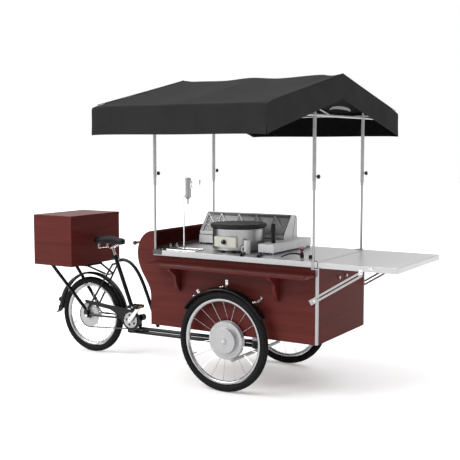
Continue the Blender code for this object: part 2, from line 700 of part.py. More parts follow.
def build_side_panel(side):
    front_edge = [(WING_FRONT, WING_TOP), (WING_FRONT, WORKTOP_UNDER - GAP),
                  (BOX_FRONT, WORKTOP_UNDER - GAP), (BOX_FRONT, BOX_BOTTOM)]
    low, high = sorted((side * (BOX_HALF - PANEL), side * BOX_HALF))
    name = "side_panel_left" if side > 0 else "side_panel_right"
    return finish(plate(name, [wing_profile() + front_edge], low, high), WOOD)


def build_back_panel():
    """A bent sheet between the side panels that follows their rear outline."""
    half = BOX_HALF - PANEL - GAP
    bm = bmesh.new()
    rows = [[bm.verts.new((x, y, z)) for y in (-half, half)] for x, z in wing_profile()]
    for one, two in zip(rows, rows[1:]):
        bm.faces.new((one[0], one[1], two[1], two[0]))
    obj = add_mesh("back_panel", bm)
    skin = obj.modifiers.new("skin", "SOLIDIFY")
    skin.thickness = BACK_PANEL
    skin.offset = -1.0 if obj.data.polygons[0].normal.x < 0 else 1.0
    return finish(bake(obj), WOOD)


def build_front_panel():
    half = BOX_HALF - PANEL - GAP
    panel = box("front_panel", (BOX_FRONT - PANEL, -half, BOX_BOTTOM), (BOX_FRONT, half, WORKTOP_UNDER - GAP))
    buffers = [rod("buffer", (BOX_FRONT - 0.004, y, 0.780), (BOX_FRONT + 0.010, y, 0.780), 0.011, 16)
               for y in (-0.0575, 0.0575)]
    return finish(union("front_panel", [panel, *buffers]), WOOD)


def build_floor_panel():
    half = BOX_HALF - PANEL - GAP
    rear = BOX_REAR + BACK_PANEL + GAP
    front = BOX_FRONT - PANEL - GAP
    return finish(box("floor_panel", (rear, -half, BOX_BOTTOM), (front, half, BOX_BOTTOM + 0.015)), WOOD)


def build_worktop():
    tongue_half = BOX_HALF - PANEL - GAP
    slab = box("slab", (WING_FRONT + GAP, -WORKTOP_HALF, WORKTOP_UNDER),
               (BOX_FRONT, WORKTOP_HALF, WORKTOP_TOP))
    tongue = box("tongue", (WING_REAR + BACK_PANEL + 0.005, -tongue_half, WORKTOP_UNDER),
                 (WING_FRONT + 0.01, tongue_half, WORKTOP_TOP))
    return finish(union("worktop", [slab, tongue]), WHITE)


def build_side_shelf():
    """The plank along the right side, on two ogee brackets glued under it."""
    wall = -(BOX_HALF + GAP)
    low, high = 0.820, 0.838
    parts = [box("plank", (FRONT_X - 0.617, SHELF_EDGE, low), (FRONT_X + 0.645, wall, high), 0.003)]
    curve = bezier((SHELF_EDGE + 0.014, low - 0.008), (-0.510, 0.780), (-0.458, 0.785), (-0.449, 0.742), 7)
    curve += bezier(curve[-1], (-0.447, 0.700), (-0.425, 0.668), (wall - 0.012, 0.645), 5)[1:]
    outline = [(wall, low + 0.004), (SHELF_EDGE + 0.014, low + 0.004)] + curve + [(wall, 0.645)]
    for x in (FRONT_X - 0.402, FRONT_X + 0.378):
        parts.append(plate("bracket", [outline], x - 0.012, x + 0.012, "YZ"))
    return finish(union("side_shelf", parts), WOOD)


def build_steering_bar():
    x, z = FRONT_X - 0.800, 0.957
    parts = [rod("bar", (x, -0.372, z), (x, 0.372, z), 0.010, 16)]
    for side in (-1, 1):
        parts.append(ball("ball", (x, side * 0.372, z), 0.016))
        parts.append(rod("arm", (x, side * 0.250, z), (wing_x(z) - GAP, side * 0.250, z), 0.008, 12))
    return finish(union("steering_bar", parts), STEEL)


def wing_x(z):
    """X of the cabinet's rear outline at a height."""
    line = wing_profile()
    for (x0, z0), (x1, z1) in zip(line, line[1:]):
        if z0 <= z <= z1:
            return min(x0 + (x1 - x0) * (z - z0) / (z1 - z0), x0, x1)
    return WING_REAR


def build_chassis_frame():
    """Sub-frame bolted under the cabinet, with the kingpin that the cabinet swivels on."""
    top = BOX_BOTTOM - GAP
    low = top - 0.030
    parts = []
    for side in (-1, 1):
        y = side * 0.25
        parts.append(box("rail", (FRONT_X - 0.60, y - 0.010, low), (FRONT_X + 0.60, y + 0.010, top)))
    for x, half in ((-0.50, 0.26), (0.0, 0.3385), (0.50, 0.26)):
        rear, fore = FRONT_X + x - 0.02, FRONT_X + x + 0.02
        parts.append(box("cross", (rear, -half, low + 0.002), (fore, half, top - 0.002)))
    parts.append(rod("washer", (FRONT_X, 0, 0.2653), (FRONT_X, 0, 0.2753), 0.031, 24))
    parts.append(rod("kingpin", (FRONT_X, 0, 0.2010), (FRONT_X, 0, low + 0.01), 0.0150, 24))
    parts.append(rod("collar", (FRONT_X, 0, 0.2700), (FRONT_X, 0, low + 0.01), 0.024, 20))
    return finish(union("chassis_frame", [parts[3], *parts[:3], *parts[4:]]), ALLOY)


def build_front_axle():
    """A dropped beam under the kingpin that rises to the two stub axles."""
    y = 0.353
    line = [(FRONT_X, -y, FRONT_R), (FRONT_X, -y, 0.203), (FRONT_X, -y + 0.017, 0.187),
            (FRONT_X, y - 0.017, 0.187), (FRONT_X, y, 0.203), (FRONT_X, y, FRONT_R)]
    parts = [pipe("beam", line, 0.013)]
    for side in (-1, 1):
        parts.append(ball("corner", (FRONT_X, side * y, FRONT_R), 0.0145))
        tip = side * (HUB_FACES[2] + 0.006)
        parts.append(rod("stub", (FRONT_X, side * y, FRONT_R), (FRONT_X, tip, FRONT_R), 0.008, 20))
    return finish(union("front_axle", parts), ALLOY)


def build_front_fender(side):
    """A mudguard held by three stand-offs, each with a tab screwed to the cabinet's side."""
    middle = side * TRACK / 2
    wall = side * (BOX_HALF + GAP)
    parts = [fender("guard", FRONT_X, middle, FRONT_R, FRONT_FENDER_R, 32, 148, 0.036)]
    for angle in (128.5, 92, 50.5):
        out = Vector((math.cos(math.radians(angle)), math.sin(math.radians(angle))))
        across = Vector((-out.y, out.x)) * 0.011
        hub = Vector((FRONT_X, FRONT_R))
        at = hub + out * (FRONT_FENDER_R - 0.001)
        root = wall + side * 0.001
        parts.append(rod("standoff", (at.x, root, at.y), (at.x, side * 0.450, at.y), 0.009, 12))
        foot, head = hub + out * (FRONT_FENDER_R - 0.006), hub + out * (FRONT_FENDER_R + 0.040)
        tab = [tuple(foot - across), tuple(head - across), tuple(head + across), tuple(foot + across)]
        parts.append(plate("tab", [tab], *sorted((wall, wall + side * 0.003))))
    return finish(union("front_fender_left" if side > 0 else "front_fender_right", parts), BLACK)


def build_post(x, side):
    """Fixed lower tube of a canopy post on its foot plate; the front ones run on as a corner trim."""
    front = x > FRONT_X
    y = side * POST_Y
    parts = [rod("tube", (x, y, WORKTOP_TOP + GAP), (x, y, POST_TOP), POST_R, 16)]
    out = WORKTOP_HALF + GAP
    near, far = sorted((side * 0.350, side * (out + 0.003)))
    rear, fore = (x - 0.030, x + 0.010) if front else (x - 0.0115, x + 0.060)
    parts.append(box("foot", (rear, near, WORKTOP_TOP + GAP), (fore, far, WORKTOP_TOP + 0.005)))
    low_y, high_y = sorted((side * out, side * (out + 0.003)))
    strap_low = WORKTOP_UNDER - 0.014 if front else WORKTOP_UNDER + 0.006
    strap_rear = x - 0.010 if front else rear
    parts.append(box("strap", (strap_rear, low_y, strap_low), (fore, high_y, WORKTOP_TOP + 0.005)))
    if front:
        wall = BOX_HALF + GAP
        top = strap_low + 0.010
        block = sorted((side * (wall + 0.0005), side * (out + 0.0025)))
        parts.append(box("block", (x - 0.009, block[0], strap_low + 0.001),
                         (BOX_FRONT + 0.001, block[1], top - 0.001)))
        flange = sorted((side * wall, side * (wall + 0.0015)))
        parts.append(box("trim_side", (BOX_FRONT - TRIM, flange[0], BOX_BOTTOM + 0.002),
                         (BOX_FRONT + 0.0014, flange[1], top)))
        flange = sorted((side * (BOX_HALF - TRIM), side * (wall + 0.0012)))
        parts.append(box("trim_front", (BOX_FRONT + GAP, flange[0], BOX_BOTTOM + 0.003),
                         (BOX_FRONT + 0.0018, flange[1], top - 0.0005)))
    name = "post_{}_{}".format("front" if front else "rear", "left" if side > 0 else "right")
    return finish(union(name, parts), ALLOY)


# ---------------------------------------------------------------- things on and in the cabinet
GRIDDLE = (FRONT_X - 0.090, -0.103)
CREPE_KNOB_Z = 0.996


def build_crepe_maker():
    """Steel drum open underneath, with feet on its rim and a control box at the front."""
    x, y = GRIDDLE
    low, high = 0.936, 1.0850
    drum = turned("drum", [(0, high), (0.183, high), (0.183, low), (0.180, low), (0.180, high - 0.003),
                           (0, high - 0.003)], (x, y, 0), "Z", 36)
    parts = [drum]
    parts.append(box("control", (x - 0.076, y - 0.195, 0.962), (x + 0.098, y - 0.160, 1.032), 0.003))
    for angle in (264, 290, 59, 121):
        (fx, fy), = arc((x, y), 0.176, angle, angle, 1)[:1]
        parts.append(rod("foot", (fx, fy, WORKTOP_TOP + GAP), (fx, fy, 0.950), 0.012, 12))
    return finish(union("crepe_maker", parts), STEEL)


def build_griddle():
    x, y = GRIDDLE
    top, low = 1.113, 1.0850 + GAP
    profile = [(0, top), (0.192, top), (0.199, top - 0.006), (0.199, low + 0.007), (0.190, low), (0.150, low),
               (0.150, top - 0.012), (0, top - 0.012)]
    return finish(turned("griddle_plate", profile, (x, y, 0), "Z", 36), IRON)


def build_crepe_knob():
    x, y = GRIDDLE
    front = y - 0.195 - GAP
    start, end = (x, front, CREPE_KNOB_Z), (x, front - 0.020, CREPE_KNOB_Z)
    return finish(rod("crepe_knob", start, end, 0.017, 20, end_radius=0.014), BLACK)


def build_display_case():
    """Topping display: a hollow L-shaped base on feet, and a sloped hood that is open at its slope."""
    x0, x1 = FRONT_X - 0.545, FRONT_X + 0.258
    y0, y1 = 0.086, 0.345
    arm_x, arm_y = x1 - 0.118, -0.228
    low, top = 0.934, 0.990
    wall, cover = 0.006, 0.008

    def outline(inset):
        return [(x0 + inset, y0 + inset), (arm_x + inset, y0 + inset), (arm_x + inset, arm_y + inset),
                (x1 - inset, arm_y + inset), (x1 - inset, y1 - inset), (x0 + inset, y1 - inset)]

    base = plate("base", [outline(0.0)], low, top, "XY")
    below = plate("below", [outline(wall)], WORKTOP_TOP - 0.1, top - cover, "XY")
    side = [(0.092, top - 0.004), (0.092, 1.016), (0.203, 1.154), (0.212, 1.160), (0.275, 1.154),
            (0.297, 1.140), (0.304, 1.118), (0.304, top - 0.004)]
    hood = plate("hood", [side], x0 + 0.002, FRONT_X + 0.167, "YZ")
    room_side = [(0.060, top + 0.008), (0.060, 1.016), (0.171, 1.154), (0.176, 1.152), (0.270, 1.147),
                 (0.290, 1.134), (0.296, 1.116), (0.296, top + 0.008)]
    room = plate("room", [room_side], x0 + 0.010, FRONT_X + 0.159, "YZ")
    parts = [cut(base, [below]), cut(hood, [room])]
    inset = 0.016
    feet = [(x0 + inset, y0 + inset), (x0 + inset, y1 - inset), (x1 - inset, y1 - inset),
            (x1 - inset, arm_y + inset), (arm_x + inset, arm_y + inset)]
    for x, y in feet:
        parts.append(rod("foot", (x, y, WORKTOP_TOP + GAP), (x, y, 0.950), 0.014, 12))
    return finish(union("display_case", parts), WHITE)


def build_tap():
    x, y = FRONT_X + 0.500, -0.285
    parts = [rod("base", (x, y, WORKTOP_TOP + GAP), (x, y, 0.928), 0.020, 16),
             rod("body", (x, y, 0.924), (x, y, 0.962), 0.011, 14)]
    spout = [(x, y, 0.945), (x - 0.040, y - 0.025, 0.956), (x - 0.085, y - 0.053, 0.950),
             (x - 0.118, y - 0.074, 0.936)]
    parts.append(pipe("spout", spout, 0.0045, 2))
    return finish(union("tap", parts), BLACK)


def build_tap_handle():
    x, y = FRONT_X + 0.500, -0.285
    profile = [(0, 0.990), (0.021, 0.990), (0.019, 0.984), (0.008, 0.972), (0.005, 0.962 + GAP),
               (0, 0.962 + GAP)]
    return finish(turned("tap_handle", profile, (x, y, 0), "Z", 20), RED)


DISPENSER = (FRONT_X - 0.420, -0.250)
LEVER_PIVOT = (FRONT_X - 0.396, 1.359)    # lower rear edge of the lever's hinge block


def build_dispenser():
    """A cylinder on a thin pole, with a nozzle below and a back plate for the lever."""
    x, y = DISPENSER
    pole_x = x - 0.035
    parts = [rod("foot", (pole_x, y, WORKTOP_TOP + GAP), (pole_x, y, 0.927), 0.025, 20),
             rod("pole", (pole_x, y, 0.925), (pole_x, y, 1.303), 0.006, 12),
             rod("link", (pole_x, y, 1.297), (x - 0.003, y, 1.297), 0.005, 10),
             rod("cylinder", (x, y, 1.288), (x, y, 1.428), 0.019, 20),
             rod("nozzle", (x, y, 1.242), (x, y, 1.291), 0.0065, 12),
             box("plate", (x + 0.0150, y - 0.012, 1.290), (x + 0.0235, y + 0.012, 1.424), 0.0015)]
    return finish(union("dispenser", [parts[3], parts[4], parts[2], parts[1], parts[0], parts[5]]), CHROME)


def build_dispenser_lever():
    """Two arms and an upright grip on a hinge block that tips about its lower edge."""
    x, z = LEVER_PIVOT
    _, y = DISPENSER
    height, grip = 0.048, x + 0.078
    parts = [box("hub", (x + GAP, y - 0.010, z), (x + 0.012, y + 0.010, z + height), 0.001)]
    for rise in (0.006, height - 0.006):
        parts.append(rod("arm", (x + 0.006, y, z + rise), (grip, y, z + rise), 0.004, 10))
    parts.append(rod("bar", (grip, y, z - 0.012), (grip, y, z + height + 0.012), 0.006, 12))
    return finish(union("dispenser_lever", parts), CHROME)


def build_gas_bottle():
    floor = BOX_BOTTOM + 0.015 + GAP
    profile = [(0, 0.330), (0.022, 0.330), (0.022, 0.292), (0.055, 0.282), (0.092, 0.252), (0.100, 0.225),
               (0.100, 0.030), (0.085, 0.012), (0.085, 0.0), (0, 0.0)]
    return finish(turned("gas_bottle", profile, (FRONT_X + 0.42, 0.18, floor), "Z", 24), ALLOY)


# ---------------------------------------------------------------- canopy
def chevron(half, eave, ridge, depth):
    """Gable outline of constant depth."""
    return [(-half, eave), (0, ridge), (half, eave), (half, eave - depth), (0, ridge - depth),
            (-half, eave - depth)]


def build_canopy_fabric():
    """One cover: roof slopes, side valances and gable valances, open underneath."""
    x0, x1 = CANOPY_X
    skin = plate("canopy_fabric", [chevron(CANOPY_HALF, EAVE_Z, RIDGE_Z, VALANCE)], x0, x1, "YZ")
    lower = 0.4
    inner = plate("inner", [chevron(CANOPY_HALF - FABRIC, EAVE_Z - FABRIC, RIDGE_Z - FABRIC, lower)],
                  x0 + FABRIC, x1 - FABRIC, "YZ")
    return finish(cut(skin, [inner]), CLOTH)


def build_canopy_frame():
    """Sliding sleeves, tie bars, rafters, ridge and eave bars, welded together."""
    tube = 0.0085
    eave_y = CANOPY_HALF - 0.016
    eave_z = EAVE_Z - 0.019
    ridge_z = RIDGE_Z - 0.018
    tie_z = SLEEVE_TOP - 0.012
    slope = (ridge_z - eave_z) / eave_y
    parts = []
    for x in POST_X:
        parts.append(rod("tie", (x, -eave_y + 0.02, tie_z), (x, eave_y - 0.02, tie_z), tube, 8))
        for side in (-1, 1):
            roof = ridge_z - slope * POST_Y
            hanger_y = side * (eave_y - 0.03)
            parts.append(rod("sleeve", (x, side * POST_Y, SLEEVE_BOTTOM), (x, side * POST_Y, SLEEVE_TOP),
                             SLEEVE_R, 12))
            y = side * POST_Y
            parts.append(rod("prop", (x, y, SLEEVE_TOP - 0.003), (x, y, roof), tube, 8))
            parts.append(rod("hanger", (x, hanger_y, tie_z), (x, hanger_y, eave_z + 0.006), 0.006, 6))
    for x in (*POST_X, sum(POST_X) / 2):
        for side in (-1, 1):
            parts.append(rod("rafter", (x, 0, ridge_z), (x, side * eave_y, eave_z), tube, 8))
    rear, front = POST_X[1] - 0.008, POST_X[0] + 0.008
    parts.append(rod("ridge", (rear, 0, ridge_z), (front, 0, ridge_z), tube + 0.001, 8))
    for side in (-1, 1):
        y = side * eave_y
        parts.append(rod("eave", (rear, y, eave_z), (front, y, eave_z), tube + 0.001, 8))
    frame = union("canopy_frame", parts)
    bores = [rod("bore", (x, side * POST_Y, SLEEVE_BOTTOM - 0.05), (x, side * POST_Y, SLEEVE_TOP - 0.005),
                 POST_R + GAP, 16) for x in POST_X for side in (-1, 1)]
    return finish(cut(frame, [group("bores", bores)]), ALLOY)


def build_clamp_knob(x, side):
    start = x + SLEEVE_R + GAP
    y = side * POST_Y
    parts = [rod("screw", (start, y, KNOB_Z), (start + 0.012, y, KNOB_Z), 0.005, 12),
             rod("head", (start + 0.010, y, KNOB_Z), (start + 0.026, y, KNOB_Z), 0.014, 10)]
    name = "clamp_knob_{}_{}".format("front" if x > FRONT_X else "rear", "left" if side > 0 else "right")
    return finish(union(name, parts), BLACK)


# ---------------------------------------------------------------- fold-out table
def build_table():
    """The leaf in front of the worktop, with a rounded knuckle edge at its hinge."""
    low_x = TABLE_HINGE[0] + GAP
    leaf = box("table_top", (low_x, -WORKTOP_HALF, WORKTOP_UNDER),
               (TABLE_TIP, WORKTOP_HALF, WORKTOP_TOP), 0.003)
    return finish(leaf, WHITE)


def build_strut(side):
    """A slotted stay from the cabinet's corner to under the leaf."""
    along = Vector((math.cos(STRUT_ANGLE), math.sin(STRUT_ANGLE)))
    across = Vector((-along.y, along.x))
    pin = Vector(STRUT_PIN)

    def at(length, offset):
        return tuple(pin + along * length + across * offset)

    half, slot = 0.0175, 0.0045
    outline = [at(-0.036, -half), at(STRUT_LENGTH, -half), at(STRUT_LENGTH, half), at(-0.036, half)]
    far_end = STRUT_LENGTH - 0.020
    window = [at(0.020, -slot), at(far_end, -slot), at(far_end, slot), at(0.020, slot)]
    low, high = sorted((side * 0.3880, side * 0.3955))
    bar = plate("bar", [outline, window], low, high)
    x, z = STRUT_PIN
    stub = rod("pin", (x, side * 0.3862, z), (x, side * 0.3940, z), 0.006, 16)
    return finish(union("table_strut_left" if side > 0 else "table_strut_right", [bar, stub]), ALLOY)


# ---------------------------------------------------------------- assembly
def build_rear_frame():
    pieces = [build_seat_tube(), build_curved_tube(), build_main_beam(), build_chain_stays(),
              build_seat_stays(), build_rear_axle(), build_rear_fender(), build_rear_reflector(),
              build_chain_guard(), build_chain(), build_box_carrier(), build_rear_box(), build_seat_clamp()]
    frame = body("rear_frame", (0, 0, 0), pieces)
    body("seat", (SEAT_TUBE_TOP[0], 0, SEAT_TUBE_TOP[1]), [build_saddle(), build_seat_post()], frame)
    body("rear_wheel", (REAR_X, 0, REAR_R), build_rear_wheel(), frame)
    crank = body("crank", (BB_X, 0, BB_Z), [build_crank()], frame)
    for side, name in ((-1, "pedal_right_body"), (1, "pedal_left_body")):
        x, z = crank_end(side)
        body(name, (x, side * 0.14, z), [build_pedal(side)], crank)
    body("rear_lid", (REAR_BOX[0][0] - 0.0045, 0, REAR_BOX[1][2] - 0.003), [build_lid()], frame)
    return frame


def build_front(frame):
    pieces = [build_chassis_frame(), build_front_axle(), build_back_panel(), build_front_panel(),
              build_floor_panel(), build_worktop(), build_side_shelf(), build_steering_bar(),
              build_crepe_maker(), build_griddle(), build_display_case(), build_tap(), build_dispenser(),
              build_gas_bottle()]
    for side in (-1, 1):
        pieces += [build_side_panel(side), build_front_fender(side)]
        pieces += [build_post(x, side) for x in POST_X]
    front = body("front_chassis", (FRONT_X, 0, 0), pieces, frame)
    for side, word in ((-1, "right"), (1, "left")):
        inner, outer, face = (side * reach for reach in HUB_FACES)
        wheel = wheel_pieces("front_" + word, FRONT_X, side * TRACK / 2, FRONT_R, HUB_R, inner, outer,
                             (HUB_COVER_R, abs(face - outer)))
        body("front_wheel_" + word, (FRONT_X, side * TRACK / 2, FRONT_R), wheel, front)
    body("crepe_knob_body", (GRIDDLE[0], GRIDDLE[1] - 0.2, CREPE_KNOB_Z), [build_crepe_knob()], front)
    body("tap_handle_body", (FRONT_X + 0.500, -0.285, 0.97), [build_tap_handle()], front)
    lever_axis = (LEVER_PIVOT[0], DISPENSER[1], LEVER_PIVOT[1])
    body("dispenser_lever_body", lever_axis, [build_dispenser_lever()], front)
    return front


def build_canopy(front):
    canopy = body("canopy", (FRONT_X, 0, SLEEVE_TOP), [build_canopy_fabric(), build_canopy_frame()], front)
    for x in POST_X:
        for side in (-1, 1):
            knob = build_clamp_knob(x, side)
            body(knob.name + "_body", (x, side * POST_Y, KNOB_Z), [knob], canopy)


def build_folding_table(front):
    body("table", (TABLE_HINGE[0], 0, TABLE_HINGE[1]), [build_table()], front)
    for side, word in ((-1, "right"), (1, "left")):
        body("strut_" + word, (STRUT_PIN[0], side * 0.39, STRUT_PIN[1]), [build_strut(side)], front)


clear_scene()
CART = collection("vending_tricycle")
CUTTERS = collection("cutters")
CUTTERS.hide_render = True
rear_frame = build_rear_frame()
front_chassis = build_front(rear_frame)
build_canopy(front_chassis)
build_folding_table(front_chassis)
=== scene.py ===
"""Looks of the pedal-driven vending tricycle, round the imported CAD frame. Metres, +Z up, +X forwards."""

import json
import math
import random

import bmesh
import bpy
from mathutils import Matrix, Vector

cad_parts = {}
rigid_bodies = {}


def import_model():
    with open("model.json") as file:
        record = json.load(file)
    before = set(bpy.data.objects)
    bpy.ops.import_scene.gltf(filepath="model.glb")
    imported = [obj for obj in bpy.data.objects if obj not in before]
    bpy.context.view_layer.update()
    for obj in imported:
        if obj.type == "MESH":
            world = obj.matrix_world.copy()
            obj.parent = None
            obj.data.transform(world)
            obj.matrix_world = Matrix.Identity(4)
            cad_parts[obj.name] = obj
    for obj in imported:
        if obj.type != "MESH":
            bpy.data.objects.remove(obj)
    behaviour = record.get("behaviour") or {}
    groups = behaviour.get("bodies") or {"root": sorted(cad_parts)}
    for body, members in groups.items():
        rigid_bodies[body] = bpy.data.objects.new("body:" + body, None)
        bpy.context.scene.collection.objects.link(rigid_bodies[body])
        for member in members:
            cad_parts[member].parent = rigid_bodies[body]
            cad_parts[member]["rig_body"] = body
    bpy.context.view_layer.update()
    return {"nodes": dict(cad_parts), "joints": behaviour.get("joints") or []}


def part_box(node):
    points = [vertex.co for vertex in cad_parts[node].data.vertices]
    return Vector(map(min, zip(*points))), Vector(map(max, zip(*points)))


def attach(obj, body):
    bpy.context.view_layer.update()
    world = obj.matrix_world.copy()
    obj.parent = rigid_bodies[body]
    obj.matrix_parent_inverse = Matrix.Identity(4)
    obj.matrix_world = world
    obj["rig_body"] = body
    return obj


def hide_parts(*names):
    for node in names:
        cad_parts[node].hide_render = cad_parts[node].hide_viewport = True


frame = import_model()

X, Y, Z = Vector((1, 0, 0)), Vector((0, 1, 0)), Vector((0, 0, 1))
RING_TEETH = 36
SPROCKET_TEETH = 48
CHAIN_LINKS = 110
SIDES = (("right", -1), ("left", 1))
POSTS = ("front_right", "front_left", "rear_right", "rear_left")


# ---------------------------------------------------------------- materials
class Look:
    """A Principled material whose colour, roughness and relief come from object-space textures."""

    def __init__(self, name, roughness, metallic=0.0, **sockets):
        self.material = bpy.data.materials.new(name)
        self.material.use_nodes = True
        self.tree = self.material.node_tree
        self.shader = self.tree.nodes["Principled BSDF"]
        self.shader.inputs["Roughness"].default_value = roughness
        self.shader.inputs["Metallic"].default_value = metallic
        for socket, value in sockets.items():
            self.shader.inputs[socket.replace("_", " ")].default_value = value
        self.coordinates = self.tree.nodes.new("ShaderNodeTexCoord").outputs["Object"]

    def link(self, source, target):
        self.tree.links.new(source, target)

    def stretched(self, scale):
        node = self.tree.nodes.new("ShaderNodeMapping")
        node.inputs["Scale"].default_value = scale
        self.link(self.coordinates, node.inputs["Vector"])
        return node.outputs["Vector"]

    def noise(self, scale, detail=3.0, stretch=(1, 1, 1), distortion=0.0):
        node = self.tree.nodes.new("ShaderNodeTexNoise")
        node.inputs["Scale"].default_value = scale
        node.inputs["Detail"].default_value = detail
        node.inputs["Distortion"].default_value = distortion
        self.link(self.stretched(stretch), node.inputs["Vector"])
        return node.outputs["Fac"]

    def cells(self, scale):
        node = self.tree.nodes.new("ShaderNodeTexVoronoi")
        node.inputs["Scale"].default_value = scale
        self.link(self.coordinates, node.inputs["Vector"])
        return node.outputs["Distance"]

    def bands(self, scale, axis):
        node = self.tree.nodes.new("ShaderNodeTexWave")
        node.bands_direction = axis
        node.inputs["Scale"].default_value = scale
        self.link(self.coordinates, node.inputs["Vector"])
        return node.outputs["Fac"]

    def ramp(self, source, *stops):
        """Colour ramp; stops are (position, (r, g, b))."""
        node = self.tree.nodes.new("ShaderNodeValToRGB")
        elements = node.color_ramp.elements
        while len(elements) < len(stops):
            elements.new(0.5)
        for element, (position, colour) in zip(elements, stops):
            element.position = position
            element.color = (*colour, 1.0)
        self.link(source, node.inputs["Fac"])
        return node.outputs["Color"]

    def mixed(self, kind, factor, one, two):
        node = self.tree.nodes.new("ShaderNodeMix")
        node.data_type = "RGBA"
        node.blend_type = kind
        node.inputs["Factor"].default_value = factor
        self.link(one, node.inputs["A"])
        self.link(two, node.inputs["B"])
        return node.outputs["Result"]

    def sum(self, one, two, share=0.5):
        node = self.tree.nodes.new("ShaderNodeMath")
        node.operation = "MULTIPLY_ADD"
        node.inputs[1].default_value = share
        self.link(one, node.inputs[0])
        self.link(two, node.inputs[2])
        return node.outputs["Value"]

    def colour(self, source):
        self.link(source, self.shader.inputs["Base Color"])

    def roughness_from(self, source, low, high):
        node = self.tree.nodes.new("ShaderNodeMapRange")
        node.inputs["To Min"].default_value = low
        node.inputs["To Max"].default_value = high
        self.link(source, node.inputs["Value"])
        self.link(node.outputs["Result"], self.shader.inputs["Roughness"])

    def bump(self, source, strength, distance=0.001):
        node = self.tree.nodes.new("ShaderNodeBump")
        node.inputs["Strength"].default_value = strength
        node.inputs["Distance"].default_value = distance
        self.link(source, node.inputs["Height"])
        self.link(node.outputs["Normal"], self.shader.inputs["Normal"])


def mottled(name, colour, roughness, metallic=0.0, variation=0.12, patch=9.0, grain=500.0, relief=0.08,
            stretch=(1, 1, 1), spread=0.08, **sockets):
    """A finish with soft tonal patches, uneven gloss and a fine surface grain."""
    look = Look(name, roughness, metallic, **sockets)
    dark = tuple(c * (1 - variation) for c in colour)
    light = tuple(min(1.0, c * (1 + variation)) for c in colour)
    patches = look.noise(patch, 4.0)
    look.colour(look.ramp(patches, (0.3, dark), (0.7, light)))
    fine = look.noise(grain, 2.0, stretch)
    look.roughness_from(look.sum(fine, patches, 0.5), max(0.02, roughness - spread), roughness + spread)
    look.bump(fine, relief, 0.0004)
    return look.material


def mahogany(name, along, gloss):
    """Varnished mahogany veneer with its grain along one axis."""
    look = Look(name, 0.40, Specular_IOR_Level=gloss)
    stretch = [9.0, 9.0, 9.0]
    stretch[along] = 0.5
    fibre_stretch = [70.0, 70.0, 70.0]
    fibre_stretch[along] = 1.4
    figure = look.noise(2.4, 7.0, stretch, 0.5)
    base = look.ramp(figure, (0.30, (0.080, 0.0122, 0.0098)), (0.45, (0.102, 0.0158, 0.0126)),
                     (0.58, (0.112, 0.0178, 0.0145)), (0.76, (0.128, 0.0220, 0.0180)))
    fibres = look.noise(9.0, 3.0, fibre_stretch)
    fine = look.ramp(fibres, (0.30, (0.86, 0.85, 0.85)), (0.62, (1.04, 1.03, 1.03)))
    look.colour(look.mixed("MULTIPLY", 1.0, base, fine))
    look.roughness_from(figure, 0.32, 0.46)
    look.bump(fibres, 0.10, 0.0006)
    return look.material


def canvas(name, colour):
    """Coated awning cloth: plain weave, faint creases and fading."""
    look = Look(name, 0.85, Specular_IOR_Level=0.10)
    across = look.sum(look.bands(420.0, "Y"), look.bands(420.0, "Z"), 1.0)
    weave = look.sum(look.bands(420.0, "X"), across, 1.0)
    creases = look.noise(5.0, 6.0, (1, 1, 1), 0.5)
    dark = tuple(c * 0.86 for c in colour)
    light = tuple(c * 1.14 for c in colour)
    look.colour(look.ramp(look.sum(weave, creases, 0.06), (0.36, dark), (0.74, light)))
    look.roughness_from(creases, 0.74, 0.90)
    look.bump(look.sum(weave, creases, 0.010), 0.45, 0.006)
    return look.material


def leather(name, colour):
    look = Look(name, 0.5, Specular_IOR_Level=0.3)
    pores = look.cells(900.0)
    patches = look.noise(25.0, 4.0)
    dark, light = (tuple(c * share for c in colour) for share in (0.7, 1.5))
    look.colour(look.ramp(patches, (0.3, dark), (0.7, light)))
    look.roughness_from(patches, 0.40, 0.60)
    look.bump(look.sum(pores, patches, 0.6), 0.35, 0.0008)
    return look.material


def glass(name, tint):
    look = Look(name, 0.05, 0.0, Alpha=0.08, Specular_IOR_Level=0.5)
    haze = look.noise(14.0, 3.0)
    look.colour(look.ramp(haze, (0.3, tint), (0.7, tuple(min(1.0, c * 1.1) for c in tint))))
    look.roughness_from(haze, 0.02, 0.10)
    return look.material


def toppings(name, dark, light):
    """Chopped food seen through the display glass."""
    look = Look(name, 0.6)
    crumbs = look.cells(95.0)
    look.colour(look.ramp(look.sum(crumbs, look.noise(40.0, 3.0), 1.2), (0.42, dark), (0.58, light)))
    look.bump(crumbs, 0.9, 0.004)
    return look.material


WOOD_X = mahogany("mahogany_x", 0, 0.16)
WOOD_Y = mahogany("mahogany_y", 1, 0.05)
ENAMEL = mottled("black_enamel", (0.0050, 0.0050, 0.0054), 0.26, variation=0.2, relief=0.03,
                 Specular_IOR_Level=0.32)
RUBBER = mottled("tyre_rubber", (0.0065, 0.0065, 0.0068), 0.72, variation=0.3, patch=30, grain=900,
                 relief=0.3, Specular_IOR_Level=0.2)
BLACK_PLASTIC = mottled("black_plastic", (0.0065, 0.0065, 0.0070), 0.45, variation=0.2, patch=30, grain=1200,
                        relief=0.15, Specular_IOR_Level=0.25)
CHROME = mottled("chrome", (0.80, 0.80, 0.81), 0.10, 1.0, variation=0.04, patch=30, relief=0.01, spread=0.05)
BRUSHED = mottled("brushed_steel", (0.44, 0.44, 0.45), 0.27, 1.0, variation=0.06, patch=14, grain=60,
                  relief=0.05, stretch=(1, 1, 22))
SHEET_STEEL = mottled("worktop_steel", (0.62, 0.62, 0.63), 0.30, 0.70, variation=0.035, patch=7, grain=60,
                      relief=0.03, stretch=(1, 18, 18))
ALLOY = mottled("satin_alloy", (0.47, 0.47, 0.48), 0.32, 1.0, variation=0.05, patch=20, grain=300,
                relief=0.04)
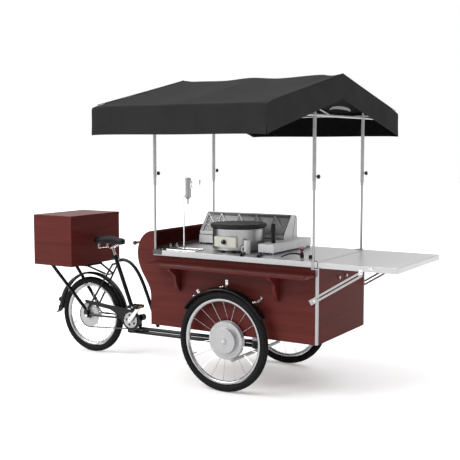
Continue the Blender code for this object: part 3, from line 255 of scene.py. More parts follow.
RIM_ALLOY = mottled("rim_alloy", (0.52, 0.52, 0.53), 0.24, 1.0, variation=0.05, patch=30, relief=0.02)
GREY_COAT = mottled("grey_coat", (0.78, 0.78, 0.79), 0.38, 0.10, variation=0.06, patch=16, relief=0.06)
HUB_SILVER = mottled("hub_silver", (0.50, 0.50, 0.51), 0.33, 0.6, variation=0.05, patch=20, relief=0.05)
DARK_STEEL = mottled("dark_steel", (0.12, 0.12, 0.125), 0.35, 0.8, variation=0.15, patch=40, relief=0.08)
CHAIN_STEEL = mottled("chain_steel", (0.16, 0.155, 0.15), 0.36, 0.9, variation=0.3, patch=120, relief=0.1)
CAST_IRON = mottled("seasoned_iron", (0.011, 0.011, 0.012), 0.55, 0.2, variation=0.35, patch=25, grain=700,
                    relief=0.25)
WHITE_ENAMEL = mottled("white_enamel", (0.74, 0.74, 0.74), 0.30, variation=0.03, patch=12, relief=0.04)
CREAM = mottled("cream_panel", (0.70, 0.69, 0.60), 0.38, variation=0.03, patch=20, relief=0.05)
RED = mottled("dark_red", (0.15, 0.012, 0.018), 0.28, variation=0.2, patch=40, relief=0.04, Coat_Weight=0.4)
RUST = mottled("rusty_seam", (0.42, 0.26, 0.23), 0.6, variation=0.3, patch=60, relief=0.2)
AMBER = mottled("amber_reflector", (0.70, 0.20, 0.03), 0.25, variation=0.15, patch=200, relief=0.3)
CANVAS = canvas("canopy_cloth", (0.023, 0.023, 0.0245))
# A far darker copy of the cloth for the cover's inner face: painted shade under the canopy.
UNDERSIDE_SHADE = canvas("canopy_underside_painted_shade", (0.0042, 0.0042, 0.0046))
LEATHER = leather("saddle_leather", (0.009, 0.009, 0.010))
GLASS = glass("display_glass", (0.82, 0.85, 0.86))
BERRIES = toppings("dark_toppings", (0.020, 0.018, 0.019), (0.30, 0.29, 0.29))
NUTS = toppings("light_toppings", (0.030, 0.028, 0.028), (0.42, 0.41, 0.40))


# ---------------------------------------------------------------- mesh tools
def polar(radius, angle, y=0.0):
    """A step in a wheel's plane: radius outwards at that angle from +X, and y along the axle."""
    return Vector((radius * math.cos(angle), y, radius * math.sin(angle)))


def perpendicular(direction):
    """Two unit vectors at right angles to direction and to each other."""
    direction = direction.normalized()
    helper = Z if abs(direction.z) < 0.9 else X
    first = direction.cross(helper).normalized()
    return first, direction.cross(first)


class Shape:
    """A piece put together from closed solids; each solid takes the look in use."""

    def __init__(self, name, body="front_chassis"):
        self.name = name
        self.body = body
        self.bm = bmesh.new()
        self.looks = []
        self.index = 0

    def use(self, look):
        if look not in self.looks:
            self.looks.append(look)
        self.index = self.looks.index(look)
        return self

    def absorb(self, other, place=None):
        """Adds a finished bmesh, moved by place."""
        bmesh.ops.recalc_face_normals(other, faces=other.faces)
        if place:
            bmesh.ops.transform(other, matrix=place, verts=other.verts)
        for face in other.faces:
            face.material_index = self.index
        mesh = bpy.data.meshes.new("part")
        other.to_mesh(mesh)
        other.free()
        self.bm.from_mesh(mesh)
        bpy.data.meshes.remove(mesh)

    def loft(self, rings, loop=False, caps=False, closed=True):
        """Skins rings of points in turn. A ring of one point is a pole; loop joins the last to the first."""
        other = bmesh.new()
        rows = [[other.verts.new(point) for point in ring] for ring in rings]
        for one, two in zip(rows, rows[1:] + (rows[:1] if loop else [])):
            count = max(len(one), len(two))
            for k in range(count if closed else count - 1):
                n = k + 1
                corners = (one[k % len(one)], one[n % len(one)], two[n % len(two)], two[k % len(two)])
                unique = list(dict.fromkeys(corners))
                if len(unique) > 2:
                    other.faces.new(unique)
        if caps:
            other.faces.new(rows[0])
            other.faces.new(rows[-1])
        self.absorb(other)

    def turned(self, profile, centre, axis=Z, steps=48, loop=False):
        """A turned solid; profile is (radius, height along axis). Radius 0 closes it with a pole."""
        centre, axis = Vector(centre), Vector(axis).normalized()
        across, up = perpendicular(axis)
        angles = [2 * math.pi * k / steps for k in range(steps)]
        rings = []
        for radius, height in profile:
            base = centre + axis * height
            ring = [base + across * radius * math.cos(a) + up * radius * math.sin(a) for a in angles]
            rings.append(ring if radius else [base])
        self.loft(rings, loop)

    def tube(self, points, radius, sides=12):
        """A round bar along the points; radius may be one number or one for each point."""
        points = [Vector(p) for p in points]
        radii = radius if isinstance(radius, (list, tuple)) else [radius] * len(points)
        rings = []
        side = perpendicular(points[1] - points[0])[0]
        for before, point, after, reach in zip(points[:1] + points, points, points[1:] + points[-1:], radii):
            along = (after - before).normalized()
            side = (side - along * side.dot(along)).normalized()
            up = along.cross(side)
            angles = (2 * math.pi * k / sides for k in range(sides))
            rings.append([point + (side * math.cos(a) + up * math.sin(a)) * reach for a in angles])
        self.loft(rings, caps=True)

    def block(self, corner, opposite, bevel=0.001, place=None):
        corner, opposite = Vector(corner), Vector(opposite)
        other = bmesh.new()
        bmesh.ops.create_cube(other, size=1.0)
        bmesh.ops.scale(other, vec=[abs(side) for side in opposite - corner], verts=other.verts)
        bmesh.ops.translate(other, vec=(corner + opposite) / 2, verts=other.verts)
        bmesh.ops.bevel(other, geom=other.edges, offset=bevel, segments=2, affect="EDGES", profile=0.5)
        self.absorb(other, place)

    def prism(self, outline, low, high, axis="Y", bevel=0.0):
        """A flat piece with that outline; low and high are its faces' places along the axis."""
        order = {"X": lambda a, b, c: (c, a, b),
                 "Y": lambda a, b, c: (a, c, b),
                 "Z": lambda a, b, c: (a, b, c)}
        other = bmesh.new()
        one, two = ([other.verts.new(order[axis](a, b, face)) for a, b in outline] for face in (low, high))
        caps = [other.faces.new(one), other.faces.new(two[::-1])]
        for k in range(len(outline)):
            other.faces.new((one[k - 1], two[k - 1], two[k], one[k]))
        if bevel:
            edges = [e for cap in caps for e in cap.edges]
            bmesh.ops.bevel(other, geom=edges, offset=bevel, segments=2, affect="EDGES", profile=0.5)
        self.absorb(other)

    def foot(self, at, axis, wide, edge, narrow, height, steps):
        """A round foot whose top edge slopes inwards."""
        self.turned([(0, 0), (wide, 0), (wide, edge), (narrow, height), (0, height)], at, axis, steps)

    def rivet(self, at, axis, radius, shoulder, flat, height, steps):
        """A low domed head."""
        profile = [(0, height), (flat, height - 0.0005), (radius, shoulder), (radius, 0), (0, 0)]
        self.turned(profile, at, axis, steps)

    def finish(self, replaces, slot, smooth=38, subdivide=0, thickness=0.0):
        bmesh.ops.recalc_face_normals(self.bm, faces=self.bm.faces)
        obj = placed(self.name, self.bm, self.looks, smooth)
        if subdivide:
            rounding = obj.modifiers.new("soft", "SUBSURF")
            rounding.levels = rounding.render_levels = subdivide
        if thickness:
            skin = obj.modifiers.new("skin", "SOLIDIFY")
            skin.thickness = thickness
        if not subdivide:
            even_shading(obj)
        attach(obj, self.body)
        if replaces:
            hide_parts(*replaces)
        return obj


def placed(name, bm, looks, smooth):
    """A new object in the scene from a finished bmesh, smooth up to that angle in degrees."""
    mesh = bpy.data.meshes.new(name)
    bm.to_mesh(mesh)
    bm.free()
    for look in looks:
        mesh.materials.append(look)
    mesh.shade_smooth()
    mesh.set_sharp_from_angle(angle=math.radians(smooth))
    obj = bpy.data.objects.new(name, mesh)
    bpy.context.scene.collection.objects.link(obj)
    return obj


def even_shading(obj):
    """Keeps large flat faces flat beside their rounded edges."""
    weights = obj.modifiers.new("even shading", "WEIGHTED_NORMAL")
    weights.keep_sharp = True
    weights.weight = 100


def middle(node):
    low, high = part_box(node)
    return (low + high) / 2


def half_size(node):
    low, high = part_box(node)
    return (high - low) / 2


def joint(name):
    return next(j for j in frame["joints"] if j["name"] == name)


def softened(node, look, bevel=0.0012, smooth=38):
    """A copy of a CAD piece with rounded edges stands for it. look is a material or a chooser by face."""
    source = frame["nodes"][node]
    bm = bmesh.new()
    bm.from_mesh(source.data)
    bmesh.ops.remove_doubles(bm, verts=bm.verts, dist=0.00002)
    bmesh.ops.dissolve_limit(bm, angle_limit=math.radians(0.6), verts=bm.verts, edges=bm.edges)
    if bevel:
        sharp = [e for e in bm.edges if len(e.link_faces) == 2 and e.calc_face_angle(0) > math.radians(50)]
        bmesh.ops.bevel(bm, geom=sharp, offset=bevel, segments=2, affect="EDGES", profile=0.5,
                        clamp_overlap=True)
    looks = []
    for face in bm.faces:
        chosen = look(face.calc_center_median(), face.normal) if callable(look) else look
        if chosen not in looks:
            looks.append(chosen)
        face.material_index = looks.index(chosen)
    obj = placed(node + "_look", bm, looks, smooth)
    even_shading(obj)
    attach(obj, source["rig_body"])
    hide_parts(node)


# ---------------------------------------------------------------- wheels
def tyre(node, rim_node, body):
    """Round tyre with a ribbed tread: long grooves and short cuts across the shoulders."""
    centre, size = middle(node), half_size(node)
    radius, half = size.z, size.y
    semi = (radius - half_size(rim_node).z) / 2
    steps, ribs = 144, 30
    rings = []
    for s in range(steps):
        turn = -math.pi / 2 + 2 * math.pi * s / steps
        ring = []
        for k in range(ribs + 1):
            around = math.radians(-148 + 296 * k / ribs)
            reach = semi * math.cos(around) + radius - semi
            offset = abs(k - ribs // 2)
            cut = offset > 3 and s % 3 == 0
            if abs(math.degrees(around)) < 62 and (offset == 3 or cut):
                reach -= 0.0013
            across = half * math.sin(around) * (1.0 if abs(around) < 1.7 else 0.98)
            ring.append(centre + polar(reach, turn, across))
        rings.append(ring)
    shape = Shape(node + "_look", body).use(RUBBER)
    shape.loft(rings, loop=True)
    shape.finish((node,), "tyre", smooth=50)


def rim(shape, centre, radius):
    """Double-wall rim with brake tracks, ending just inside the tyre's beads, and its valve."""
    half = [(0.0, 0.0125), (0.001, 0.0140), (0.010, 0.0135), (0.014, 0.0110), (0.020, 0.0050), (0.0212, 0.0)]
    section = half + [(depth, -across) for depth, across in half[-2::-1]]
    profile = [(radius - depth, across) for depth, across in section]
    shape.use(RIM_ALLOY).turned(profile, centre, Y, 96, loop=True)
    out = polar(1.0, math.radians(205))
    shape.use(DARK_STEEL).tube([centre + out * (radius - 0.018), centre + out * (radius - 0.052)], 0.0028, 10)


def lace(shape, centre, flange_radius, flange_offsets, rim_radius, count, sweep):
    """Spokes from both hub flanges to the rim, leaning both ways, each with its nipple."""
    for k in range(count):
        at_rim = 2 * math.pi * (k + 0.5) / count
        at_hub = at_rim + (sweep if (k // 2) % 2 else -sweep)
        start = centre + polar(flange_radius, at_hub, flange_offsets[k % 2])
        end = centre + polar(rim_radius, at_rim, 0.0025 if k % 2 else -0.0025)
        shape.use(CHROME).tube([start, end], 0.0013, 6)
        shape.use(ALLOY).tube([end.lerp(start, 0.06), end], 0.0024, 6)


def front_wheel(word, side):
    tyre_node, node, body = "tyre_front_" + word, "wheel_front_" + word, "front_wheel_" + word
    tyre(tyre_node, node, body)
    centre = middle(tyre_node)
    radius = half_size(node).z
    shape = Shape(node + "_look", body)
    rim(shape, centre, radius)
    inner = min(abs(corner.y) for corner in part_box(node))
    outward = Y * side
    base = Vector((centre.x, side * inner, centre.z))
    drum = 0.132
    waist = [(0.0, 0.0), (0.126, 0.0), (drum, 0.004), (drum, 0.010), (0.1295, 0.012), (0.1295, 0.024),
             (drum, 0.026), (drum, 0.033), (0.1300, 0.0362), (0.1240, 0.0378)]
    cover_rim = [(0.1100, 0.0380), (0.1080, 0.0372), (0.0925, 0.0372), (0.0895, 0.0400), (0.0890, 0.0600),
                 (0.0875, 0.0635), (0.0840, 0.0652)]
    cap = [(0.0350, 0.0655), (0.0330, 0.0648), (0.0250, 0.0648), (0.0235, 0.0665), (0.0225, 0.0690),
           (0.0180, 0.0700), (0.0, 0.0700)]
    shape.use(HUB_SILVER).turned(waist + cover_rim + cap, base, outward, 72)
    shape.use(CHROME)
    for k in range(10):
        spot = base + polar(0.1170, 2 * math.pi * k / 10, side * 0.0378)
        shape.turned([(0.0, 0.0032), (0.0035, 0.0028), (0.0045, 0.0), (0.0, 0.0)], spot, outward, 6)
    offsets = [side * (inner + depth) - centre.y for depth in (0.007, 0.030)]
    lace(shape, centre, drum - 0.003, offsets, radius - 0.018, 18, math.radians(3))
    shape.finish((node,), "alloy")


def rear_wheel():
    tyre("tyre_rear", "wheel_rear", "rear_wheel")
    centre = middle("tyre_rear")
    radius = half_size("wheel_rear").z
    left, right = (corner.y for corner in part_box("wheel_rear"))
    shape = Shape("wheel_rear_look", "rear_wheel")
    rim(shape, centre, radius)
    near_end = [(0.007, 0.0), (0.024, 0.0), (0.034, 0.001), (0.034, 0.004), (0.022, 0.008), (0.018, 0.020)]
    far_end = [(0.018, -0.026), (0.030, -0.020), (0.040, -0.012), (0.041, -0.004), (0.036, -0.001),
               (0.007, 0.0)]
    hub = [(reach, left + y) for reach, y in near_end] + [(reach, right + y) for reach, y in far_end]
    shape.use(ALLOY).turned(hub, (centre.x, 0, centre.z), Y, 48, loop=True)
    lace(shape, centre, 0.031, [left + 0.0025, right - 0.014], radius - 0.018, 36, math.radians(38))
    shape.finish(("wheel_rear",), "alloy")

    low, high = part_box("rear_sprocket")
    shape = Shape("rear_sprocket_look", "rear_wheel").use(HUB_SILVER)
    toothed_wheel(shape, centre, SPROCKET_TEETH, 0.0125)
    carrier = [(0.0085, high.y - low.y), (0.040, high.y - low.y), (0.052, 0.0085), (0.060, 0.0065),
               (0.060, 0.0045), (0.034, 0.0035), (0.030, -0.001), (0.0085, -0.001)]
    shape.turned(carrier, (centre.x, low.y, centre.z), Y, 48, loop=True)
    shape.finish(("rear_sprocket",), "alloy")


# ---------------------------------------------------------------- drive train
def pitch_radius(teeth):
    return 0.0127 / (2 * math.sin(math.pi / teeth))


def toothed_wheel(shape, centre, teeth, hole):
    """A chain wheel in the chain's plane, with pointed teeth and a round hole."""
    middle_plane = Vector((centre.x, middle("chain").y, centre.z))
    half, steps = 0.0015, (-0.0042, -0.0010, 0.0034, -0.0010)
    rings = []
    for k in range(teeth * len(steps)):
        angle = 2 * math.pi * k / (teeth * len(steps))
        tip = pitch_radius(teeth) + steps[k % len(steps)]
        section = ((tip, -half), (hole, -half), (hole, half), (tip, half))
        rings.append([middle_plane + polar(reach, angle, y) for reach, y in section])
    shape.loft(rings, loop=True)


def chain_path():
    """Points along the chain's closed line, in the (x, z) plane."""
    rear, front = middle("tyre_rear"), middle("crank_set")
    large, small = pitch_radius(SPROCKET_TEETH), pitch_radius(RING_TEETH)
    gap = Vector((front.x - rear.x, front.z - rear.z))
    tilt = math.atan2(gap.y, gap.x)
    lean = math.asin((large - small) / gap.length)
    points = []
    for k in range(49):
        a = tilt + math.pi / 2 - lean + (math.pi + 2 * lean) * k / 48
        points.append(Vector((rear.x + large * math.cos(a), rear.z + large * math.sin(a))))
    for k in range(37):
        a = tilt - math.pi / 2 + lean + (math.pi - 2 * lean) * k / 36
        points.append(Vector((front.x + small * math.cos(a), front.z + small * math.sin(a))))
    return points + points[:1]


def chain():
    """Roller chain: pins at even steps, wide and narrow links by turns."""
    path = chain_path()
    lengths = [0.0]
    for one, two in zip(path, path[1:]):
        lengths.append(lengths[-1] + (two - one).length)
    step = lengths[-1] / CHAIN_LINKS
    pins, at = [], 0
    for k in range(CHAIN_LINKS):
        while lengths[at + 1] < k * step:
            at += 1
        share = (k * step - lengths[at]) / (lengths[at + 1] - lengths[at])
        pins.append(path[at].lerp(path[at + 1], share))
    plane = middle("chain").y
    shape = Shape("chain_look", "rear_frame").use(CHAIN_STEEL)
    for k, pin in enumerate(pins):
        other = pins[(k + 1) % CHAIN_LINKS]
        along = (other - pin).normalized()
        across = Vector((-along.y, along.x))
        outline = []
        for end, sign in ((pin, -1), (other, 1)):
            for turn in (-70, -25, 25, 70):
                a = math.radians(turn)
                spot = end + (along * sign * math.cos(a) + across * sign * math.sin(a)) * 0.0040
                outline.append(tuple(spot))
        offset = 0.0032 if k % 2 else 0.0020
        for side in (-1, 1):
            y = plane + side * offset
            shape.prism(outline, y - 0.0005, y + 0.0005)
        shape.tube([(pin.x, plane - 0.0042, pin.y), (pin.x, plane + 0.0042, pin.y)], 0.0022, 6)
    shape.finish(("chain",), "steel")


def crank_and_pedals():
    centre = middle("crank_set")
    shape = Shape("crank_set_look", "crank").use(CHROME)
    shape.tube([(centre.x, -0.084, centre.z), (centre.x, 0.084, centre.z)], 0.0098, 24)
    toothed_wheel(shape.use(DARK_STEEL), centre, RING_TEETH, 0.0090)
    five_hole_disc(shape.use(BRUSHED), centre, -0.0640, -0.0490)
    shape.use(CHROME)
    for word, side in SIDES:
        pedal = middle("pedal_" + word)
        reach = Vector((pedal.x - centre.x, 0, pedal.z - centre.z))
        along = reach.normalized()
        across = Vector((-along.z, 0, along.x))
        outline = []
        for end, half, sign in ((0.0, 0.0175, -1), (reach.length, 0.0115, 1)):
            for turn in range(-90, 91, 30):
                a = math.radians(turn)
                spot = centre + along * (end + sign * half * math.cos(a)) + across * sign * half * math.sin(a)
                outline.append((spot.x, spot.z))
        shape.prism(outline, side * 0.0705, side * 0.0850, bevel=0.0025)
        shape.turned([(0.0, 0.0), (0.013, 0.0), (0.012, 0.003), (0.006, 0.004), (0.0, 0.004)],
                     (centre.x, side * 0.0845, centre.z), Y * side, 24)
        shape.tube([(pedal.x, side * 0.074, pedal.z), (pedal.x, side * 0.189, pedal.z)], 0.0052, 12)
    shape.finish(("crank_set",), "chrome")
    for word, side in SIDES:
        build_pedal("pedal_" + word, side)


def five_hole_disc(shape, centre, low, high):
    """Silver disc with five windows."""
    count, radii = 80, (0.0085, 0.030, 0.047, 0.060)
    axle = Vector((centre.x, 0, centre.z))
    other = bmesh.new()
    grid = {(level, r, k): other.verts.new(axle + polar(radius, 2 * math.pi * k / count, y))
            for level, y in enumerate((low, high)) for r, radius in enumerate(radii) for k in range(count)}

    def filled(r, k):
        return 0 <= r < 3 and not (r == 1 and 5 <= k % 16 < 11)

    def face(*corners):
        other.faces.new([grid[corner] for corner in corners])

    for k in range(count):
        n = (k + 1) % count
        for r in range(4):
            if filled(r, k):
                for level in (0, 1):
                    face((level, r, k), (level, r, n), (level, r + 1, n), (level, r + 1, k))
            if filled(r, k) != filled(r - 1, k):
                face((0, r, k), (0, r, n), (1, r, n), (1, r, k))
        if filled(1, k) != filled(1, k - 1):
            face((0, 1, k), (1, 1, k), (1, 2, k), (0, 2, k))
    shape.absorb(other)


def build_pedal(node, side):
    """Block pedal: end plates, two ribbed rubber blocks and amber reflectors."""
    centre, size = middle(node), half_size(node)
    shape = Shape(node + "_look", node + "_body")
    inner, outer = centre.y - side * size.y, centre.y + side * size.y
    last = outer - side * 0.006
    shape.use(DARK_STEEL).tube([(centre.x, inner, centre.z), (centre.x, last, centre.z)], 0.0095, 16)

    def plank(x, half_x, y0, y1, half_z, bevel):
        shape.block((x - half_x, y0, centre.z - half_z), (x + half_x, y1, centre.z + half_z), bevel)

    for y in (inner, last):
        shape.use(BLACK_PLASTIC)
        plank(centre.x, size.x, y, y + side * 0.006, size.z * 0.85, 0.002)
    for way in (-1, 1):
        x = centre.x + way * size.x * 0.62
        low, high = sorted((inner + side * 0.004, outer - side * 0.004))
        shape.use(RUBBER)
        plank(x, 0.013, low, high, size.z * 0.8, 0.003)
        for k in range(5):
            y = low + 0.012 + k * (high - low - 0.024) / 4
            plank(x, 0.0135, y - 0.0035, y + 0.0035, size.z, 0.001)
        shape.use(AMBER)
        plank(centre.x + way * (size.x - 0.002), 0.002, centre.y - 0.026, centre.y + 0.026, 0.0065, 0.001)
    shape.finish((node,), "black_plastic")


# ---------------------------------------------------------------- mudguards
def mudguard(node, body, centre, radius, start, end, half):
    """Crowned mudguard with rolled edges; angles in degrees from +X."""
    steps = 72
    edge = [(1.0, -0.0150), (1.0, -0.0115), (0.93, -0.0080), (0.72, -0.0036), (0.40, -0.0011), (0.12, 0.0)]
    section = [(-share * half, drop) for share, drop in edge] + [(0.0, 0.0006)]
    section += [(share * half, drop) for share, drop in edge[::-1]]
    rings = []
    for s in range(steps + 1):
        a = math.radians(start + (end - start) * s / steps)
        taper = min(1.0, 0.82 + 0.18 * min(s, steps - s) / 3.0)
        rings.append([centre + polar(radius + drop, a, across * taper) for across, drop in section])
    shape = Shape(node + "_look", body).use(ENAMEL)
    shape.loft(rings, closed=False)
    shape.finish((node,), "black_frame", thickness=0.0018)


def front_mudguard(word, side):
    """Mudguard on three chrome stand-offs: a plate on the cabinet's wall and a tab over the guard each."""
    node = "front_fender_" + word
    centre = middle("tyre_front_" + word)
    radius = half_size("tyre_front_" + word).z + 0.023
    mudguard(node, "front_chassis", centre, radius, 31, 149, 0.036)
    holders = Shape(node + "_holders").use(CHROME)
    wall = half_size("worktop").y - 0.0125
    reach = abs(centre.y)
    for angle in (128.5, 92, 50.5):
        a = math.radians(angle)
        out = polar(1.0, a)
        turn = Matrix.Translation((centre.x, 0, centre.z)) @ Matrix.Rotation(math.pi / 2 - a, 4, "Y")
        plate, tab = (side * wall, side * (wall + 0.0035)), (side * wall, side * (reach + 0.008))
        holders.block((-0.010, plate[0], radius + 0.001), (0.010, plate[1], radius + 0.040), 0.0012, turn)
        holders.block((-0.010, tab[0], radius + 0.0004), (0.010, tab[1], radius + 0.0034), 0.0010, turn)
        spot = Vector((centre.x, side * (wall + 0.0030), centre.z)) + out * (radius + 0.028)
        holders.rivet(spot, Y * side, 0.0075, 0.0025, 0.005, 0.006, 20)
        for inset in (0.018, -0.006):
            spot = Vector((centre.x, side * (reach - inset), centre.z)) + out * (radius + 0.003)
            holders.rivet(spot, out, 0.006, 0.002, 0.0045, 0.005, 16)
    holders.finish((), "chrome")


def rear_mudguard():
    centre = middle("tyre_rear")
    low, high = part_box("rear_fender")
    radius = high.z - centre.z - 0.0008
    mudguard("rear_fender", "rear_frame", centre, radius, 6, 178, 0.031)
    tip = Vector((centre.x - radius, centre.z))
    outer = [(0.004, 0.044), (-0.0005, 0.044), (-0.004, 0.018), (-0.010, -0.002)]
    inner = [(-0.012, -0.010), (-0.001, 0.004), (0.003, 0.020)]
    hem = [(low.x, centre.z - 0.0185), (low.x + 0.002, centre.z - 0.0225)]
    outline = [tip + Vector(step) for step in outer] + hem + [tip + Vector(step) for step in inner]
    flap = Shape("rear_mudflap", "rear_frame").use(BLACK_PLASTIC)
    flap.prism(outline, -0.028, 0.028, bevel=0.0008)
    flap.finish((), "black_frame")


def reflector():
    at = middle("rear_reflector")
    out = at - middle("tyre_rear")
    out = Vector((out.x, 0, out.z)).normalized()
    start = at - out * 0.0108
    cup = [(0.0, 0.0), (0.0165, 0.0), (0.0190, 0.004), (0.0190, 0.017), (0.0175, 0.019), (0.0155, 0.0175),
           (0.0, 0.0175)]
    lens = [(0.0, 0.0170), (0.0153, 0.0172), (0.0140, 0.0195), (0.008, 0.0215), (0.0, 0.0218)]
    shape = Shape("rear_reflector_look", "rear_frame")
    shape.use(BLACK_PLASTIC).turned(cup, start, out, 36)
    shape.use(RED).turned(lens, start, out, 36)
    shape.finish(("rear_reflector",), "red_plastic")


# ---------------------------------------------------------------- saddle
def saddle():
    """Broad padded saddle: a loft of rounded sections, crowned and narrowing to the nose."""
    low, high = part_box("saddle")
    # share of the length, half width, lift of the underside, share of the height
    stations = ((0.000, 0.060, 0.030, 0.86), (0.030, 0.084, 0.014, 0.95), (0.120, 0.099, 0.010, 1.00),
                (0.280, 0.100, 0.010, 1.01), (0.430, 0.084, 0.009, 0.99), (0.560, 0.058, 0.007, 0.93),
                (0.700, 0.036, 0.004, 0.87), (0.850, 0.029, 0.002, 0.83), (0.950, 0.027, 0.001, 0.80),
                (1.000, 0.016, 0.010, 0.70))
    flank = [(0.55, 0.0), (0.92, 0.10), (1.0, 0.35), (0.93, 0.68), (0.66, 0.92), (0.30, 0.99)]
    section = [(-across, rise) for across, rise in flank] + [(0.0, 0.96)] + flank[::-1] + [(0.0, 0.02)]
    rings = []
    for share, half, lift, top in stations:
        x, base, crown = low.x + share * (high.x - low.x), low.z + lift, low.z + top * (high.z - low.z)
        rings.append([(x, across * half, base + rise * (crown - base)) for across, rise in section])
    shape = Shape("saddle_look", "seat").use(LEATHER)
    shape.loft(rings, caps=True)
    shape.finish(("saddle",), "saddle_cover", smooth=180, subdivide=2)


def seat_post():
    """Post, clamp head, two rails and two coil springs under the saddle's rear."""
    axis = Vector(joint("seat_height")["axis"]).normalized()
    collar = middle("seat_clamp")
    low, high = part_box("seat_post")
    collar = Vector((collar.x, 0, collar.z))
    head = collar + axis * 0.084
    head.z = min(head.z, high.z - 0.022)
    shape = Shape("seat_post_look", "seat").use(CHROME)
    shape.tube([collar - axis * 0.16, head], 0.0124, 24)
    shape.tube([head + Y * y for y in (-0.034, -0.030, 0.030, 0.034)], [0.009, 0.012, 0.012, 0.009], 16)
    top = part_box("saddle")[0].z + 0.012
    rear, nose = low.x + 0.012, high.x
    spring_base = head.z - 0.012
    turns, per_turn = 4.5, 14
    steps = int(turns * per_turn)
    for side in (-1, 1):
        shape.tube([(nose - 0.004, side * 0.010, top), (nose - 0.025, side * 0.015, top - 0.006),
                    (head.x + 0.028, side * 0.026, head.z + 0.002), (head.x - 0.028, side * 0.028, head.z),
                    (rear + 0.02, side * 0.046, head.z - 0.006), (rear, side * 0.052, head.z - 0.010)],
                   0.0036, 10)
        coil = []
        for k in range(steps + 1):
            a = 2 * math.pi * k / per_turn
            coil.append((rear + 0.0105 * math.cos(a), side * 0.052 + 0.0105 * math.sin(a),
                         spring_base + (top - 0.002 - spring_base) * k / steps))
        shape.tube(coil, 0.0022, 8)
    shape.tube([(rear, -0.052, head.z - 0.010), (rear, 0.052, head.z - 0.010)], 0.0034, 10)
    shape.finish(("seat_post",), "chrome")


# ---------------------------------------------------------------- cabinet and rear box
def grain_by_side(point, normal):
    """Horizontal grain on every face: across on the ends, along on the sides and top."""
    return WOOD_Y if abs(normal.x) > 0.7 else WOOD_X


def wood_and_metal():
    """Pieces whose CAD form is already true: copies with softened edges."""
    for node in ("side_panel_right", "side_panel_left"):
        softened(node, WOOD_X, 0.0015)
    softened("side_shelf", WOOD_X, 0.0010)
    for node in ("back_panel", "floor_panel"):
        softened(node, WOOD_Y, 0.0015)
    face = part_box("side_panel_right")[1].x + 0.0002
    softened("front_panel", lambda point, normal: ALLOY if point.x > face else WOOD_Y)
    softened("rear_box", grain_by_side, 0.0002)
    softened("rear_box_lid", grain_by_side, 0.0015)
    for node in ("worktop", "table_top"):
        softened(node, SHEET_STEEL, 0.0018)
    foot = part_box("worktop")[1].z + 0.006
    for word in ("right", "left"):
        softened("post_front_" + word, ALLOY, 0.0)
        softened("post_rear_" + word, lambda point, normal: DARK_STEEL if point.z < foot else ALLOY, 0.0004)
        softened("table_strut_" + word, ALLOY, 0.0008)
    for node in ("seat_tube", "curved_tube", "main_beam", "chain_stays", "seat_stays", "box_carrier",
                 "seat_clamp"):
        softened(node, ENAMEL, 0.0, 45)
    softened("chain_guard", ENAMEL, 0.0010)
    softened("rear_axle", CHROME, 0.0006)
    for node in ("chassis_frame", "front_axle", "gas_bottle"):
        softened(node, GREY_COAT, 0.0, 45)


def steering_bar():
    low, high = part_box("steering_bar")
    ball, arm = 0.016, 0.250
    x, z, end = low.x + ball, (low.z + high.z) / 2, high.y - ball
    shape = Shape("steering_bar_look").use(CHROME)
    shape.tube([(x, -end, z), (x, end, z)], 0.0098, 20)
    profile = [(ball * math.sin(a), -ball * math.cos(a)) for a in (math.pi * k / 14 for k in range(1, 14))]
    for side in (-1, 1):
        shape.use(CHROME).tube([(x, side * arm, z), (high.x, side * arm, z)], 0.0078, 16)
        shape.foot((high.x + 0.0005, side * arm, z), -X, 0.020, 0.003, 0.012, 0.006, 24)
        shape.use(RED).turned([(0, -ball)] + profile + [(0, ball)], (x, side * end, z), Y, 28)
    shape.finish(("steering_bar",), "steel")


def hinges_and_pins():
    """Table hinge barrels, strut pins, table catches and screws in the post feet."""
    hinge, pin = joint("table_fold")["pos_m"], joint("strut_right_swing")["pos_m"]
    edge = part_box("worktop")[1].x
    shape = Shape("table_hinges").use(CHROME)
    for y in (-0.28, 0.0, 0.28):
        shape.tube([(hinge[0], y - 0.035, hinge[2]), (hinge[0], y + 0.035, hinge[2])], 0.0042, 14)
        shape.block((edge + 0.0002, y - 0.035, hinge[2] - 0.008),
                    (edge + 0.0017, y + 0.035, hinge[2] - 0.001), 0.0005)
    shape.finish((), "chrome")
    for word, side in SIDES:
        outer = max(abs(corner.y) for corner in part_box("table_strut_" + word))
        shape = Shape("strut_pin_" + word, "strut_" + word).use(CHROME)
        shape.rivet((pin[0], side * outer, pin[2]), Y * side, 0.0085, 0.0015, 0.006, 0.0045, 24)
        shape.finish((), "chrome")
        table_catch(word, side, outer)
    shape = Shape("foot_screws").use(CHROME)
    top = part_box("worktop")[1].z + 0.005
    for place in POSTS:
        post = middle("clamp_knob_" + place)
        side = math.copysign(1, post.y)
        for dx in (-0.021,) if place.startswith("front") else (0.022, 0.048):
            shape.turned([(0.0, 0.0028), (0.003, 0.0024), (0.0045, 0.0), (0.0, 0.0)],
                         (post.x - 0.0248 + dx, side * 0.366, top), Z, 16)
    shape.finish((), "chrome")


